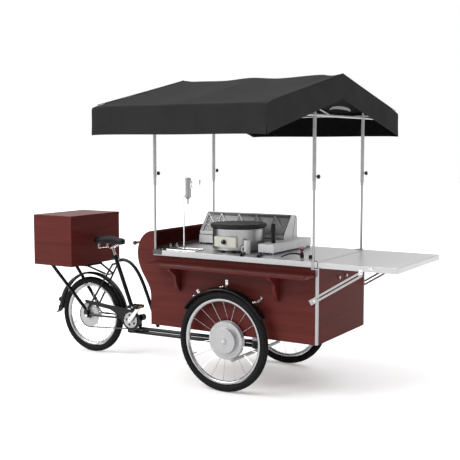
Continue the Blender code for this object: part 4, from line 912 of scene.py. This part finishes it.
def table_catch(word, side, outer):
    """A hook plate on the leaf's edge and the plate that carries the strut's upper end."""
    low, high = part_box("table_top")
    catch = Shape("table_catch_" + word, "table").use(CHROME)
    wall = side * (high.y + 0.0002)
    x, z = high.x - 0.172, high.z - 0.016
    catch.block((x - 0.016, wall, z - 0.006), (x + 0.016, wall + side * 0.0022, z + 0.006), 0.0008)
    hook = ((-0.010, 0.000, 0.000), (-0.010, 0.007, 0.000), (-0.004, 0.009, 0.007), (0.008, 0.009, 0.008),
            (0.014, 0.008, 0.000))
    catch.tube([(x + dx, wall + side * dy, z + dz) for dx, dy, dz in hook], 0.0024, 10)
    x, wall = high.x - 0.240, side * (outer + 0.0004)
    catch.block((x - 0.013, wall, low.z - 0.021), (x + 0.013, wall + side * 0.0020, low.z + 0.010), 0.0008)
    catch.rivet((x, wall + side * 0.0018, low.z - 0.012), Y * side, 0.0075, 0.0015, 0.005, 0.0045, 20)
    catch.finish((), "chrome")


# ---------------------------------------------------------------- worktop equipment
def crepe_maker():
    """Drum with a rolled lip and a rear seam, cream control panel with a dial, rubber feet, iron plate."""
    plate = middle("griddle_plate")
    low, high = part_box("crepe_maker")
    drum_low, drum_high = low.z + 0.0157, high.z
    at = (plate.x, plate.y, 0)
    shape = Shape("crepe_maker_look").use(BRUSHED)
    shape.turned([(0.0, drum_high), (0.178, drum_high),
                  (0.183, drum_high - 0.004), (0.1825, drum_high - 0.012),
                  (0.1815, drum_high - 0.014), (0.1815, drum_low + 0.016), (0.1825, drum_low + 0.014),
                  (0.183, drum_low + 0.003), (0.181, drum_low), (0.178, drum_low), (0.178, drum_low + 0.02),
                  (0.0, drum_low + 0.02)],
                 at, Z, 96)
    for k in range(9):
        a = math.radians(196 + k * 5)
        spot = Vector(at) + Vector((0.1822 * math.cos(a), 0.1822 * math.sin(a), drum_low + 0.075))
        turn = Matrix.Translation(spot) @ Matrix.Rotation(a, 4, "Z")
        shape.use(DARK_STEEL).block((-0.001, -0.0025, -0.020), (0.0006, 0.0025, 0.020), 0.0002, turn)
    front = low.y
    x0, x1, z0, z1 = plate.x - 0.080, plate.x + 0.093, low.z + 0.0417, low.z + 0.1117
    shape.use(CREAM).block((x0, front, z0), (x1, plate.y - 0.155, z1), 0.003)
    knob = middle("crepe_knob")
    for k in range(11):
        a = math.radians(-120 + 24 * k)
        inner, outer = 0.0205, 0.0245
        one = Vector((knob.x + inner * math.sin(a), front - 0.0002, knob.z + inner * math.cos(a)))
        two = Vector((knob.x + outer * math.sin(a), front - 0.0002, knob.z + outer * math.cos(a)))
        shape.use(BLACK_PLASTIC).tube([one, two], 0.0007, 6)
    for degrees in (264, 290, 59, 121):
        a = math.radians(degrees)
        spot = (plate.x + 0.176 * math.cos(a), plate.y + 0.176 * math.sin(a), low.z)
        shape.use(BLACK_PLASTIC).turned([(0.0, 0.0), (0.0125, 0.0), (0.0135, 0.003), (0.0120, 0.015),
                                         (0.0, 0.0155)], spot, Z, 24)
    shape.finish(("crepe_maker",), "steel")

    low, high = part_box("griddle_plate")
    radius = (high.x - low.x) / 2
    shape = Shape("griddle_look").use(CAST_IRON)
    shape.turned([(0.0, high.z - 0.0006), (radius - 0.020, high.z - 0.0006), (radius - 0.012, high.z),
                  (radius - 0.005, high.z - 0.0006),
                  (radius - 0.001, high.z - 0.004), (radius, high.z - 0.009), (radius - 0.002, low.z + 0.006),
                  (radius - 0.010, low.z), (0.0, low.z)], (plate.x, plate.y, 0), Z, 96)
    shape.finish(("griddle_plate",), "iron")

    low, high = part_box("crepe_knob")
    shape = Shape("crepe_knob_look", "crepe_knob_body").use(BLACK_PLASTIC)
    reach = high.y - low.y
    shape.turned([(0.0, 0.0), (0.0165, 0.0), (0.0165, 0.004), (0.0145, 0.006), (0.0135, reach - 0.002),
                  (0.0115, reach), (0.0, reach)], (knob.x, high.y, knob.z), -Y, 36)
    shape.use(WHITE_ENAMEL).block((knob.x - 0.0008, low.y - 0.0003, knob.z + 0.002),
                                  (knob.x + 0.0008, low.y + 0.002, knob.z + 0.0125), 0.0002)
    shape.finish(("crepe_knob",), "black_plastic")


def display_case():
    """Steel base on black feet, white hood with a room whose faces are coloured dark steel as painted shade;
    a clear pane lies on the hood's slope.
    """
    low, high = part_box("display_case")
    deck = low.z + 0.0705
    left, right = low.x + 0.010, high.x - 0.099
    hood_low, hood_back = high.y - 0.259, high.y - 0.041

    def looks(point, normal):
        if point.z < low.z + 0.0132:
            return BLACK_PLASTIC
        if point.z < deck:
            return GREY_COAT if point.x > low.x + 0.3 else SHEET_STEEL
        inside = left - 0.0005 < point.x < right + 0.0005 and point.z > deck + 0.006
        near_top = point.z > high.z - 0.009 or point.y + point.z > hood_back + high.z - 0.034
        outer = point.y > hood_back - 0.004 or (near_top and normal.z > 0)
        # Faces inside the hood's room take dark steel: painted shade inside the case.
        return DARK_STEEL if inside and not outer else WHITE_ENAMEL

    softened("display_case", looks, 0.0018)
    foot, head = Vector((0, hood_low + 0.0085, low.z + 0.098)), Vector((0, hood_low + 0.115, high.z - 0.008))
    slope = (head - foot).normalized()
    out = Vector((0, -slope.z, slope.y))
    shape = Shape("display_pane").use(GLASS)
    outline = [foot, head, head - out * 0.0035, foot - out * 0.0035]
    shape.prism([(p.y, p.z) for p in outline], left, right, "X", 0.0006)
    shape.finish((), "white_plastic")

    trim = Shape("display_trim").use(WHITE_ENAMEL)
    trim.block((left - 0.004, hood_low + 0.004, deck + 0.006),
               (right + 0.004, hood_low + 0.011, foot.z + 0.001), 0.001)
    end = high.x - 0.091
    seam = [(end, hood_low + 0.142, deck + 0.001), (end, hood_low + 0.184, high.z - 0.014),
            (end, hood_low + 0.180, high.z - 0.005)]
    trim.use(RUST).tube(seam, 0.0022, 8)
    trim.finish((), "white_plastic")

    walls = Shape("display_dividers").use(WHITE_ENAMEL)
    pans = Shape("display_pans")
    base = foot + slope * 0.004 - out * 0.030
    rise = slope * ((head - foot).length - 0.010)
    edges = [left + 0.113 + 0.152 * k for k in range(4)]
    for k, (start, stop) in enumerate(zip([left] + edges, edges + [right])):
        shade = NUTS if k % 2 else BERRIES
        heap(pans.use(shade), start + 0.003, stop - 0.003, base, rise, out, k)
        step = Vector((start + 0.003, 0, 0))
        walls.use(WHITE_ENAMEL if k < 3 else BRUSHED)
        top = step + head - out * 0.0055 - slope * 0.004
        walls.tube([top, step + foot - out * 0.0065], 0.0042, 8)
        walls.tube([top, top - slope * 0.088 + X * 0.080], 0.0042, 8)
    pans.finish((), "white_plastic")
    walls.finish((), "white_plastic")


def heap(shape, x0, x1, base, rise, out, seed):
    """An uneven heap of food filling one pan."""
    chance = random.Random(seed)
    columns, rows = 14, 18
    other = bmesh.new()
    top, bottom = [], []
    for r in range(rows + 1):
        for c in range(columns + 1):
            inside = 0 < r < rows and 0 < c < columns
            lump = 0
            if inside:
                lump = 0.006 * math.sin(math.pi * r / rows) * math.sin(math.pi * c / columns)
                lump += chance.uniform(0, 0.004)
            flat = Vector((x0 + (x1 - x0) * c / columns, 0, 0)) + base + rise * (r / rows)
            top.append(other.verts.new(flat + out * (0.004 + lump)))
            bottom.append(other.verts.new(flat - out * 0.006))
    width = columns + 1
    for r in range(rows):
        for c in range(columns):
            i = r * width + c
            other.faces.new((top[i], top[i + 1], top[i + width + 1], top[i + width]))
            other.faces.new((bottom[i], bottom[i + width], bottom[i + width + 1], bottom[i + 1]))
    edge = [c for c in range(width)] + [r * width + columns for r in range(1, rows + 1)]
    edge += [rows * width + c for c in range(columns - 1, -1, -1)]
    edge += [r * width for r in range(rows - 1, 0, -1)]
    for k, i in enumerate(edge):
        j = edge[(k + 1) % len(edge)]
        other.faces.new((top[i], bottom[i], bottom[j], top[j]))
    shape.absorb(other)


def dispenser():
    low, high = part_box("dispenser")
    y = (low.y + high.y) / 2
    pole_x = low.x + 0.025
    x = high.x - 0.0235
    shape = Shape("dispenser_look").use(CHROME)
    shape.foot((pole_x, y, low.z), Z, 0.025, 0.004, 0.012, 0.010, 32)
    shape.tube([(pole_x, y, low.z + 0.004), (pole_x, y, 1.290), (pole_x + 0.004, y, 1.300),
                (x - 0.01, y, 1.302)], 0.0058, 16)
    shape.use(BRUSHED).turned([(0.0, high.z), (0.016, high.z), (0.0188, high.z - 0.003),
                               (0.0188, high.z - 0.012), (0.0180, high.z - 0.013), (0.0180, 1.300),
                               (0.0188, 1.299), (0.0188, 1.290), (0.014, 1.284), (0.0070, 1.280),
                               (0.0062, 1.246), (0.0050, 1.242), (0.0, 1.242)], (x, y, 0), Z, 40)
    shape.block((high.x - 0.0065, y - 0.012, 1.290), (high.x, y + 0.012, 1.424), 0.0015)
    shape.finish(("dispenser",), "chrome")
    low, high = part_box("dispenser_lever")
    shape = Shape("dispenser_lever_look", "dispenser_lever_body").use(CHROME)
    z = (low.z + high.z) / 2
    shape.block((low.x, low.y, z - 0.024), (low.x + 0.0115, high.y, z + 0.024), 0.0015)
    bar = high.x - 0.006
    for dz in (-0.018, 0.018):
        shape.tube([(low.x + 0.006, y, z + dz), (bar, y, z + dz)], 0.0038, 12)
    shape.tube([(bar, y, low.z), (bar, y, low.z + 0.003), (bar, y, high.z - 0.003), (bar, y, high.z)],
               [0.004, 0.006, 0.006, 0.004], 16)
    shape.finish(("dispenser_lever",), "chrome")


def tap():
    low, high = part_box("tap_handle")
    at = Vector(((low.x + high.x) / 2, (low.y + high.y) / 2, 0))
    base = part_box("tap")[0]
    shape = Shape("tap_look").use(CHROME)
    shape.foot((at[0], at[1], base.z), Z, 0.021, 0.004, 0.014, 0.008, 32)
    shape.use(BLACK_PLASTIC).turned([(0.0, base.z + 0.007), (0.012, base.z + 0.007),
                                     (0.014, base.z + 0.018), (0.011, base.z + 0.028),
                                     (0.0105, low.z - 0.001), (0.0, low.z - 0.001)], at, Z, 28)
    end = Vector((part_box("tap")[0].x + 0.004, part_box("tap")[0].y + 0.004, 0.936))
    spout = []
    for k in range(13):
        t = k / 12
        flat = at.lerp(Vector((end.x, end.y, 0)), t)
        spout.append((flat.x, flat.y, 0.944 + 0.013 * math.sin(math.pi * min(1.0, t * 1.1)) - 0.010 * t * t))
    shape.tube(spout, [0.0056 - 0.0016 * k / 12 for k in range(13)], 14)
    shape.finish(("tap",), "black_fitting")
    shape = Shape("tap_handle_look", "tap_handle_body").use(RED)
    shape.turned([(0.0, high.z - 0.002), (0.017, high.z - 0.001), (0.0205, high.z),
                  (0.021, high.z - 0.003), (0.019, high.z - 0.008),
                  (0.010, high.z - 0.017), (0.0055, low.z + 0.004), (0.0055, low.z), (0.0, low.z)], at, Z, 36)
    shape.finish(("tap_handle",), "red_plastic")


def loose_items():
    """Mug, two spatulas, a small box, a shallow basin, and an upright handle on the display case's arm."""
    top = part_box("worktop")[1].z
    plate = middle("griddle_plate")

    basin = Shape("wash_basin").use(CHROME)
    x0, x1, y0, y1 = plate.x - 0.455, plate.x - 0.205, plate.y - 0.242, plate.y - 0.132
    basin.block((x0, y0, top + 0.0002), (x1, y0 + 0.006, top + 0.005), 0.002)
    basin.block((x0, y1 - 0.010, top + 0.0002), (x1, y1, top + 0.010), 0.003)
    for x in (x0, x1 - 0.006):
        basin.block((x, y0, top + 0.0002), (x + 0.006, y1, top + 0.007), 0.002)
    basin.use(DARK_STEEL).block((x0 + 0.004, y0 + 0.004, top + 0.0002),
                                (x1 - 0.004, y1 - 0.004, top + 0.0015), 0.0005)
    for dx, dy in ((-0.533, -0.080), (-0.505, -0.039)):
        basin.use(CHROME).turned([(0.0, 0.0), (0.013, 0.0), (0.013, 0.012), (0.007, 0.018), (0.006, 0.026),
                                  (0.0, 0.027)], (plate.x + dx, plate.y + dy, top + 0.0002), Z, 24)
    basin.finish((), "chrome")

    mug = Shape("mug").use(WHITE_ENAMEL)
    spot = Vector((plate.x + 0.156, plate.y - 0.148, top + 0.0003))
    mug.turned([(0.0, 0.0), (0.0195, 0.0), (0.0215, 0.003), (0.0230, 0.088), (0.0237, 0.092), (0.0222, 0.093),
                (0.0200, 0.006), (0.0, 0.005)], spot, Z, 40)
    grip = [(-0.0210, 0.050), (-0.0300, 0.048), (-0.0370, 0.038),
            (-0.0370, 0.024), (-0.0300, 0.014), (-0.0200, 0.012)]
    mug.tube([spot + Vector((x * 0.85, x * 0.5, z)) for x, z in grip], 0.0060, 12)
    mug.finish((), "white_plastic")

    tools = Shape("griddle_tools")
    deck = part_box("display_case")[0].z + 0.0700
    handle = (plate.x + 0.300, plate.y - 0.040, deck)
    tools.use(CHROME).foot(handle, Z, 0.026, 0.003, 0.008, 0.006, 28)
    tools.use(BLACK_PLASTIC).turned([(0.0, 0.004), (0.012, 0.005), (0.0145, 0.010), (0.0138, 0.070),
                                     (0.0145, 0.126),
                                     (0.0120, 0.134), (0.0, 0.135)], handle, Z, 32)
    spatulas = (((0.194, -0.301), (0.163, -0.195), 0.014), ((0.325, -0.330), (0.299, -0.200), 0.018))
    for butt, neck, half in spatulas:
        start = Vector((plate.x + butt[0], plate.y + butt[1], top + 0.0102))
        end = Vector((plate.x + neck[0], plate.y + neck[1], top + 0.0102))
        start.y = max(start.y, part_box("worktop")[0].y - 0.004)
        along = (end - start).normalized()
        across = Vector((-along.y, along.x, 0))
        points = [start, start + along * 0.003, start.lerp(end, 0.5), end - along * 0.004, end]
        tools.use(BLACK_PLASTIC).tube(points, [0.0066, 0.0098, 0.0090, 0.0096, 0.0062], 16)
        neck_end = end + along * 0.022 - Z * 0.0040
        tools.use(CHROME).tube([end - along * 0.004, neck_end], 0.0030, 10)
        blade = [neck_end - along * 0.004 + across * 0.004, neck_end - along * 0.004 - across * 0.004,
                 neck_end + along * 0.010 - across * half, neck_end + along * 0.050 - across * half,
                 neck_end + along * 0.050 + across * half, neck_end + along * 0.010 + across * half]
        tools.prism([(p.x, p.y) for p in blade], top + 0.0055, top + 0.0070, "Z", 0.0004)
    tools.finish((), "black_plastic")

    cube = Shape("spice_box").use(BLACK_PLASTIC)
    spot = middle("tap_handle")
    cube.block((spot.x + 0.035, spot.y + 0.027, top + 0.0003),
               (spot.x + 0.059, spot.y + 0.051, top + 0.022), 0.002)
    cube.finish((), "black_plastic")


# ---------------------------------------------------------------- canopy
class Roof:
    """Measures of the cover, from its CAD box, and the shape of its cross-section."""

    low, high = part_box("canopy_fabric")
    half = high.y
    ridge = high.z
    length = high.x - low.x
    drop = 0.174                         # depth of the valances
    eave = low.z + drop
    slope = (ridge - eave) / half
    round_eave = 0.022


def roof_line(samples=22):
    """Half of the cross-section from the near hem to the ridge: (y, z, tag) with y negative."""
    points = []
    for k in range(7):
        points.append((-Roof.half, Roof.low.z + (Roof.eave - 0.012 - Roof.low.z) * k / 6, "valance"))
    lean = math.atan(Roof.slope)
    for k in range(1, 6):
        a = math.pi - (math.pi / 2 - lean) * k / 6
        radius = Roof.round_eave
        y = -Roof.half + radius + radius * math.cos(a)
        points.append((y, Roof.eave - 0.012 + radius * math.sin(a) * 0.9, "eave"))
    start = points[-1]
    for k in range(1, samples + 1):
        t = k / samples
        points.append((start[0] * (1 - t), start[1] + (Roof.ridge - start[1]) * t, "roof"))
    return points


def sag(x_share, y_share):
    """How far the cloth hangs between its three rafters; y_share is 0 at the eave and 1 at the ridge."""
    bay = abs(math.sin(2 * math.pi * x_share))
    across = math.sin(math.pi * min(1.0, 0.10 + 0.90 * y_share)) ** 0.8
    ripple = 0.0022 * math.sin(2 * math.pi * (3.1 * x_share + 0.7 * y_share)) * math.sin(math.pi * y_share)
    return 0.014 * bay * across + ripple * (1 - y_share)


RIDGE_LINE = ((0.0, 0.003), (0.07, -0.006), (0.27, -0.010), (0.45, 0.003), (0.62, -0.009), (0.875, 0.003),
              (0.94, -0.006), (1.0, 0.003))


def ridge_rise(x_share):
    """Unevenness of the ridge, held up at its ends and by the rafters."""
    for (one, low), (two, high) in zip(RIDGE_LINE, RIDGE_LINE[1:]):
        if x_share <= two:
            t = (x_share - one) / (two - one)
            return low + (high - low) * (3 - 2 * t) * t * t
    return RIDGE_LINE[-1][1]


def cover():
    """One sheet from hem to hem over the ridge, closed at both gables by hanging valances."""
    half_line = roof_line()
    line = half_line + [(-y, z, tag) for y, z, tag in half_line[-2::-1]]
    stations = 72
    shape = Shape("canopy_cover", "canopy").use(CANVAS)
    other = bmesh.new()
    rows = []
    for s in range(stations + 1):
        u = s / stations
        row = []
        for y, z, tag in line:
            x = Roof.low.x + 0.004 + (Roof.length - 0.008) * u
            if tag == "roof":
                v = 1 - abs(y) / (Roof.half - Roof.round_eave)
                z -= max(0.0, sag(u, v))
                z += ridge_rise(u) * max(0.0, v) ** 4
            elif tag == "valance":
                depth = (Roof.eave - z) / Roof.drop
                wave = 0.0022 * math.sin(2 * math.pi * (2.3 * u + 0.15))
                wave += 0.0012 * math.sin(2 * math.pi * 6.1 * u)
                fold = 0.0065 * math.exp(-(1 - u) / 0.06) * math.sin(60 * (1 - u) + 5 * depth)
                y -= math.copysign(1, y) * ((0.003 - wave) * math.sin(math.pi * u) + fold) * depth
                z += 0.0010 * math.sin(2 * math.pi * 1.5 * u) * depth
            if tag != "roof" or v < 0.12:
                corner = math.exp(-(Roof.length * min(u, 1 - u)) / 0.030)
                z -= 0.007 * corner * (1.0 if tag == "eave" else 0.4)
            row.append(other.verts.new((x, y, z)))
        rows.append(row)
    for one, two in zip(rows, rows[1:]):
        for k in range(len(line) - 1):
            other.faces.new((one[k], one[k + 1], two[k + 1], two[k]))
    for row, way in ((rows[0], -1), (rows[-1], 1)):
        gable(other, row, way)
    bmesh.ops.recalc_face_normals(other, faces=other.faces)
    shape.absorb(other)
    obj = shape.finish(("canopy_fabric",), "canopy_cloth", smooth=60, thickness=0.0020)
    # The inner face of the cloth takes the darker copy: painted shade under the canopy.
    obj.data.materials.append(UNDERSIDE_SHADE)
    obj.modifiers["skin"].material_offset = 1


def gable(other, row, way):
    """The end valance hangs from the sheet's end row, its lower edge parallel to the roof."""
    count = len(row)
    top = [i for i in range(count) if row[i].co.z > Roof.eave - 0.020]
    first, last = top[0], top[-1]
    levels = 6
    columns = []
    for i in range(first, last + 1):
        start = row[i].co.copy()
        share = abs(start.y) / Roof.half
        depth = Roof.drop - 0.006 * (1 - share) - 0.002
        bottom = start.z - depth
        corner = min(1.0, (Roof.half - abs(start.y)) / 0.035)
        bottom = bottom * corner + Roof.low.z * (1 - corner)
        column = [row[i]]
        for k in range(1, levels + 1):
            t = k / levels
            billow = 0.0035 * math.sin(math.pi * t) * math.sin(9.0 * start.y + 0.6)
            flare = 0.003 * t
            column.append(other.verts.new((start.x + way * (flare + billow + 0.001), start.y,
                                           start.z + (bottom - start.z) * t)))
        columns.append(column)
    for one, two in zip(columns, columns[1:]):
        for k in range(levels):
            other.faces.new((one[k], one[k + 1], two[k + 1], two[k]))


def seams():
    """Piping along the eaves and the gables."""
    low_x, high_x = Roof.low.x + 0.004, Roof.high.x - 0.004
    line = roof_line()
    shape = Shape("canopy_piping", "canopy").use(CANVAS)
    eave_z = next(z for y, z, tag in line if tag == "eave") + 0.004
    for side in (-1, 1):
        points = []
        for k in range(41):
            u = k / 40
            corner = math.exp(-(Roof.length * min(u, 1 - u)) / 0.030)
            points.append((low_x + (high_x - low_x) * u, side * (Roof.half - 0.0035),
                           eave_z - 0.007 * corner))
        shape.tube(points, 0.0022, 8)
        for x in (low_x, high_x):
            edge = [(x, side * -y, z + 0.0012 + ridge_rise(0.0) * max(0.0, 1 + y / Roof.half) ** 4)
                    for y, z, tag in line if tag == "roof"]
            shape.tube(edge, 0.0022, 8)
    shape.finish((), "canopy_cloth")


def canopy_frame():
    """Round tubes: sleeves over the posts, ties, props, rafters, ridge and eaves."""
    low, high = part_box("canopy_frame")
    knobs = {p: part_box("clamp_knob_" + p)[0].x - 0.0118 for p in ("front_right", "rear_right")}
    xs = (knobs["rear_right"], knobs["front_right"])
    y = abs(middle("clamp_knob_front_right").y)
    sleeve_low = low.z
    tube = 0.0085
    eave_y, ridge_z = high.y - 0.0095, high.z - 0.0095
    slope = (Roof.ridge - Roof.eave) / Roof.half
    eave_z = ridge_z - slope * eave_y
    tie_z = 1.848
    shape = Shape("canopy_frame_look", "canopy").use(ALLOY)
    for x in xs:
        shape.tube([(x, -eave_y + 0.02, tie_z), (x, eave_y - 0.02, tie_z)], tube, 16)
        for side in (-1, 1):
            roof = ridge_z - slope * y
            shape.tube([(x, side * y, height) for height in (sleeve_low, sleeve_low + 0.002, tie_z + 0.012)],
                       [0.0105, 0.0115, 0.0115], 24)
            shape.tube([(x, side * y, tie_z + 0.008), (x, side * y, roof)], tube, 16)
            hanger = side * (eave_y - 0.03)
            shape.tube([(x, hanger, tie_z), (x, hanger, eave_z + 0.006)], 0.006, 12)
    for x in (*xs, sum(xs) / 2):
        for side in (-1, 1):
            shape.tube([(x, 0, ridge_z), (x, side * eave_y, eave_z)], tube, 16)
    front_x = xs[1]
    shape.tube([(front_x, -y, tie_z + 0.051), (front_x, -0.118, tie_z - 0.005)], 0.0045, 12)
    turns = [math.pi * k / 16 for k in range(17)]
    band = ([(0.163 * math.cos(a), tie_z + 0.043 + 0.024 * math.sin(a)) for a in turns]
            + [(0.160 * math.cos(a), tie_z + 0.038 + 0.010 * math.sin(a)) for a in turns[::-1]])
    shape.prism(band, front_x - 0.002, front_x + 0.002, "X")
    shape.use(ENAMEL)
    for side in (-1, 1):
        shape.tube([(front_x, side * 0.150, tie_z + 0.044),
                    (front_x, side * 0.150, ridge_z - slope * 0.150)], 0.0022, 8)
    shape.use(ALLOY)
    rear, front = xs[0] - 0.008, xs[1] + 0.008
    shape.tube([(rear, 0, ridge_z - 0.011), (front, 0, ridge_z - 0.011)], 0.0090, 16)
    for side in (-1, 1):
        shape.tube([(rear, side * eave_y, eave_z), (front, side * eave_y, eave_z)], 0.0090, 16)
    shape.finish(("canopy_frame",), "alloy")


def clamp_knobs():
    for place in ("front_right", "front_left", "rear_right", "rear_left"):
        node = "clamp_knob_" + place
        low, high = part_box(node)
        at = Vector((low.x, (low.y + high.y) / 2, (low.z + high.z) / 2))
        reach = high.x - low.x
        shape = Shape(node + "_look", node + "_body").use(CHROME)
        shape.tube([at, at + X * (reach - 0.012)], 0.0048, 16)
        shape.use(BLACK_PLASTIC)
        other = bmesh.new()
        rings = []
        for height, size in ((reach - 0.017, 0.70), (reach - 0.015, 0.93), (reach - 0.012, 1.0),
                             (reach - 0.004, 1.0), (reach - 0.001, 0.90), (reach, 0.62)):
            ring = []
            for k in range(40):
                a = 2 * math.pi * k / 40
                radius = (0.0128 + 0.0012 * math.cos(5 * a)) * size
                spot = at + Vector((height, radius * math.cos(a), radius * math.sin(a)))
                ring.append(other.verts.new(spot))
            rings.append(ring)
        for one, two in zip(rings, rings[1:]):
            for k in range(40):
                other.faces.new((one[k], one[(k + 1) % 40], two[(k + 1) % 40], two[k]))
        other.faces.new(rings[0])
        other.faces.new(rings[-1])
        shape.absorb(other)
        shape.finish((node,), "black_plastic")


# ---------------------------------------------------------------- studio
AMBIENT = 0.28
FLOOR_GLOW = 0.24
BACKDROP = (-0.52, 0.85, 0.08)
SUNS = (("key", (-0.76, -0.78, 0.82), 2.3, 42), ("top", (0.05, 0.10, 1.0), 1.9, 90),
        ("back", (0.77, 0.64, 0.9), 0.4, 40))


def studio():
    floor_look = Look("studio_floor", 0.75)
    patches = floor_look.noise(0.6, 2.0)
    floor_look.colour(floor_look.ramp(patches, (0.3, (0.90, 0.895, 0.893)), (0.7, (0.92, 0.915, 0.913))))
    glow = floor_look.tree.nodes.new("ShaderNodeMapRange")
    glow.inputs["To Max"].default_value = FLOOR_GLOW
    seen = floor_look.tree.nodes.new("ShaderNodeLightPath")
    floor_look.link(seen.outputs["Is Camera Ray"], glow.inputs["Value"])
    floor_look.link(glow.outputs["Result"], floor_look.shader.inputs["Emission Strength"])
    floor_look.shader.inputs["Emission Color"].default_value = (1.0, 0.99, 0.985, 1.0)
    mesh = bpy.data.meshes.new("studio_floor")
    mesh.from_pydata([(-30, -30, 0), (30, -30, 0), (30, 30, 0), (-30, 30, 0)], [], [(0, 1, 2, 3)])
    obj = bpy.data.objects.new("studio_floor", mesh)
    mesh.materials.append(floor_look.material)
    bpy.context.scene.collection.objects.link(obj)

    world = bpy.data.worlds.new("studio")
    bpy.context.scene.world = world
    world.use_nodes = True
    tree = world.node_tree
    background = tree.nodes["Background"]
    background.inputs["Color"].default_value = (1.0, 1.0, 1.0, 1.0)
    facing = tree.nodes.new("ShaderNodeVectorMath")
    facing.operation = "DOT_PRODUCT"
    facing.inputs[1].default_value = BACKDROP
    tree.links.new(tree.nodes.new("ShaderNodeTexCoord").outputs["Generated"], facing.inputs[0])
    around = tree.nodes.new("ShaderNodeMapRange")
    around.interpolation_type = "SMOOTHSTEP"
    around.inputs["From Min"].default_value = 0.62
    around.inputs["From Max"].default_value = 0.95
    around.inputs["To Min"].default_value = AMBIENT
    around.inputs["To Max"].default_value = 0.85
    tree.links.new(facing.outputs["Value"], around.inputs["Value"])
    choice = tree.nodes.new("ShaderNodeMix")
    choice.inputs["B"].default_value = 1.0
    tree.links.new(tree.nodes.new("ShaderNodeLightPath").outputs["Is Camera Ray"], choice.inputs["Factor"])
    tree.links.new(around.outputs["Result"], choice.inputs["A"])
    tree.links.new(choice.outputs["Result"], background.inputs["Strength"])

    for name, toward, strength, spread in SUNS:
        data = bpy.data.lights.new(name, "SUN")
        data.energy = strength
        data.angle = math.radians(spread)
        light = bpy.data.objects.new(name, data)
        light.rotation_euler = (-Vector(toward)).to_track_quat("-Z", "Y").to_euler()
        bpy.context.scene.collection.objects.link(light)

    view = bpy.context.scene.view_settings
    view.view_transform = "Standard"
    view.look = "None"

    data = bpy.data.cameras.new("photo_view")
    data.lens = 68.6
    data.sensor_width = 36.0
    data.clip_end = 200.0
    camera = bpy.data.objects.new("photo_view", data)
    camera.location = (3.394, -5.390, 1.667)
    camera.rotation_euler = (math.radians(84.39), 0.0, math.radians(31.26))
    bpy.context.scene.collection.objects.link(camera)
    bpy.context.scene.camera = camera


for word, side in SIDES:
    front_wheel(word, side)
    front_mudguard(word, side)
for build in (rear_wheel, chain, crank_and_pedals, rear_mudguard, reflector, saddle, seat_post,
              wood_and_metal, steering_bar, hinges_and_pins, crepe_maker, display_case, dispenser, tap,
              loose_items, cover, seams, canopy_frame, clamp_knobs, studio):
    build()
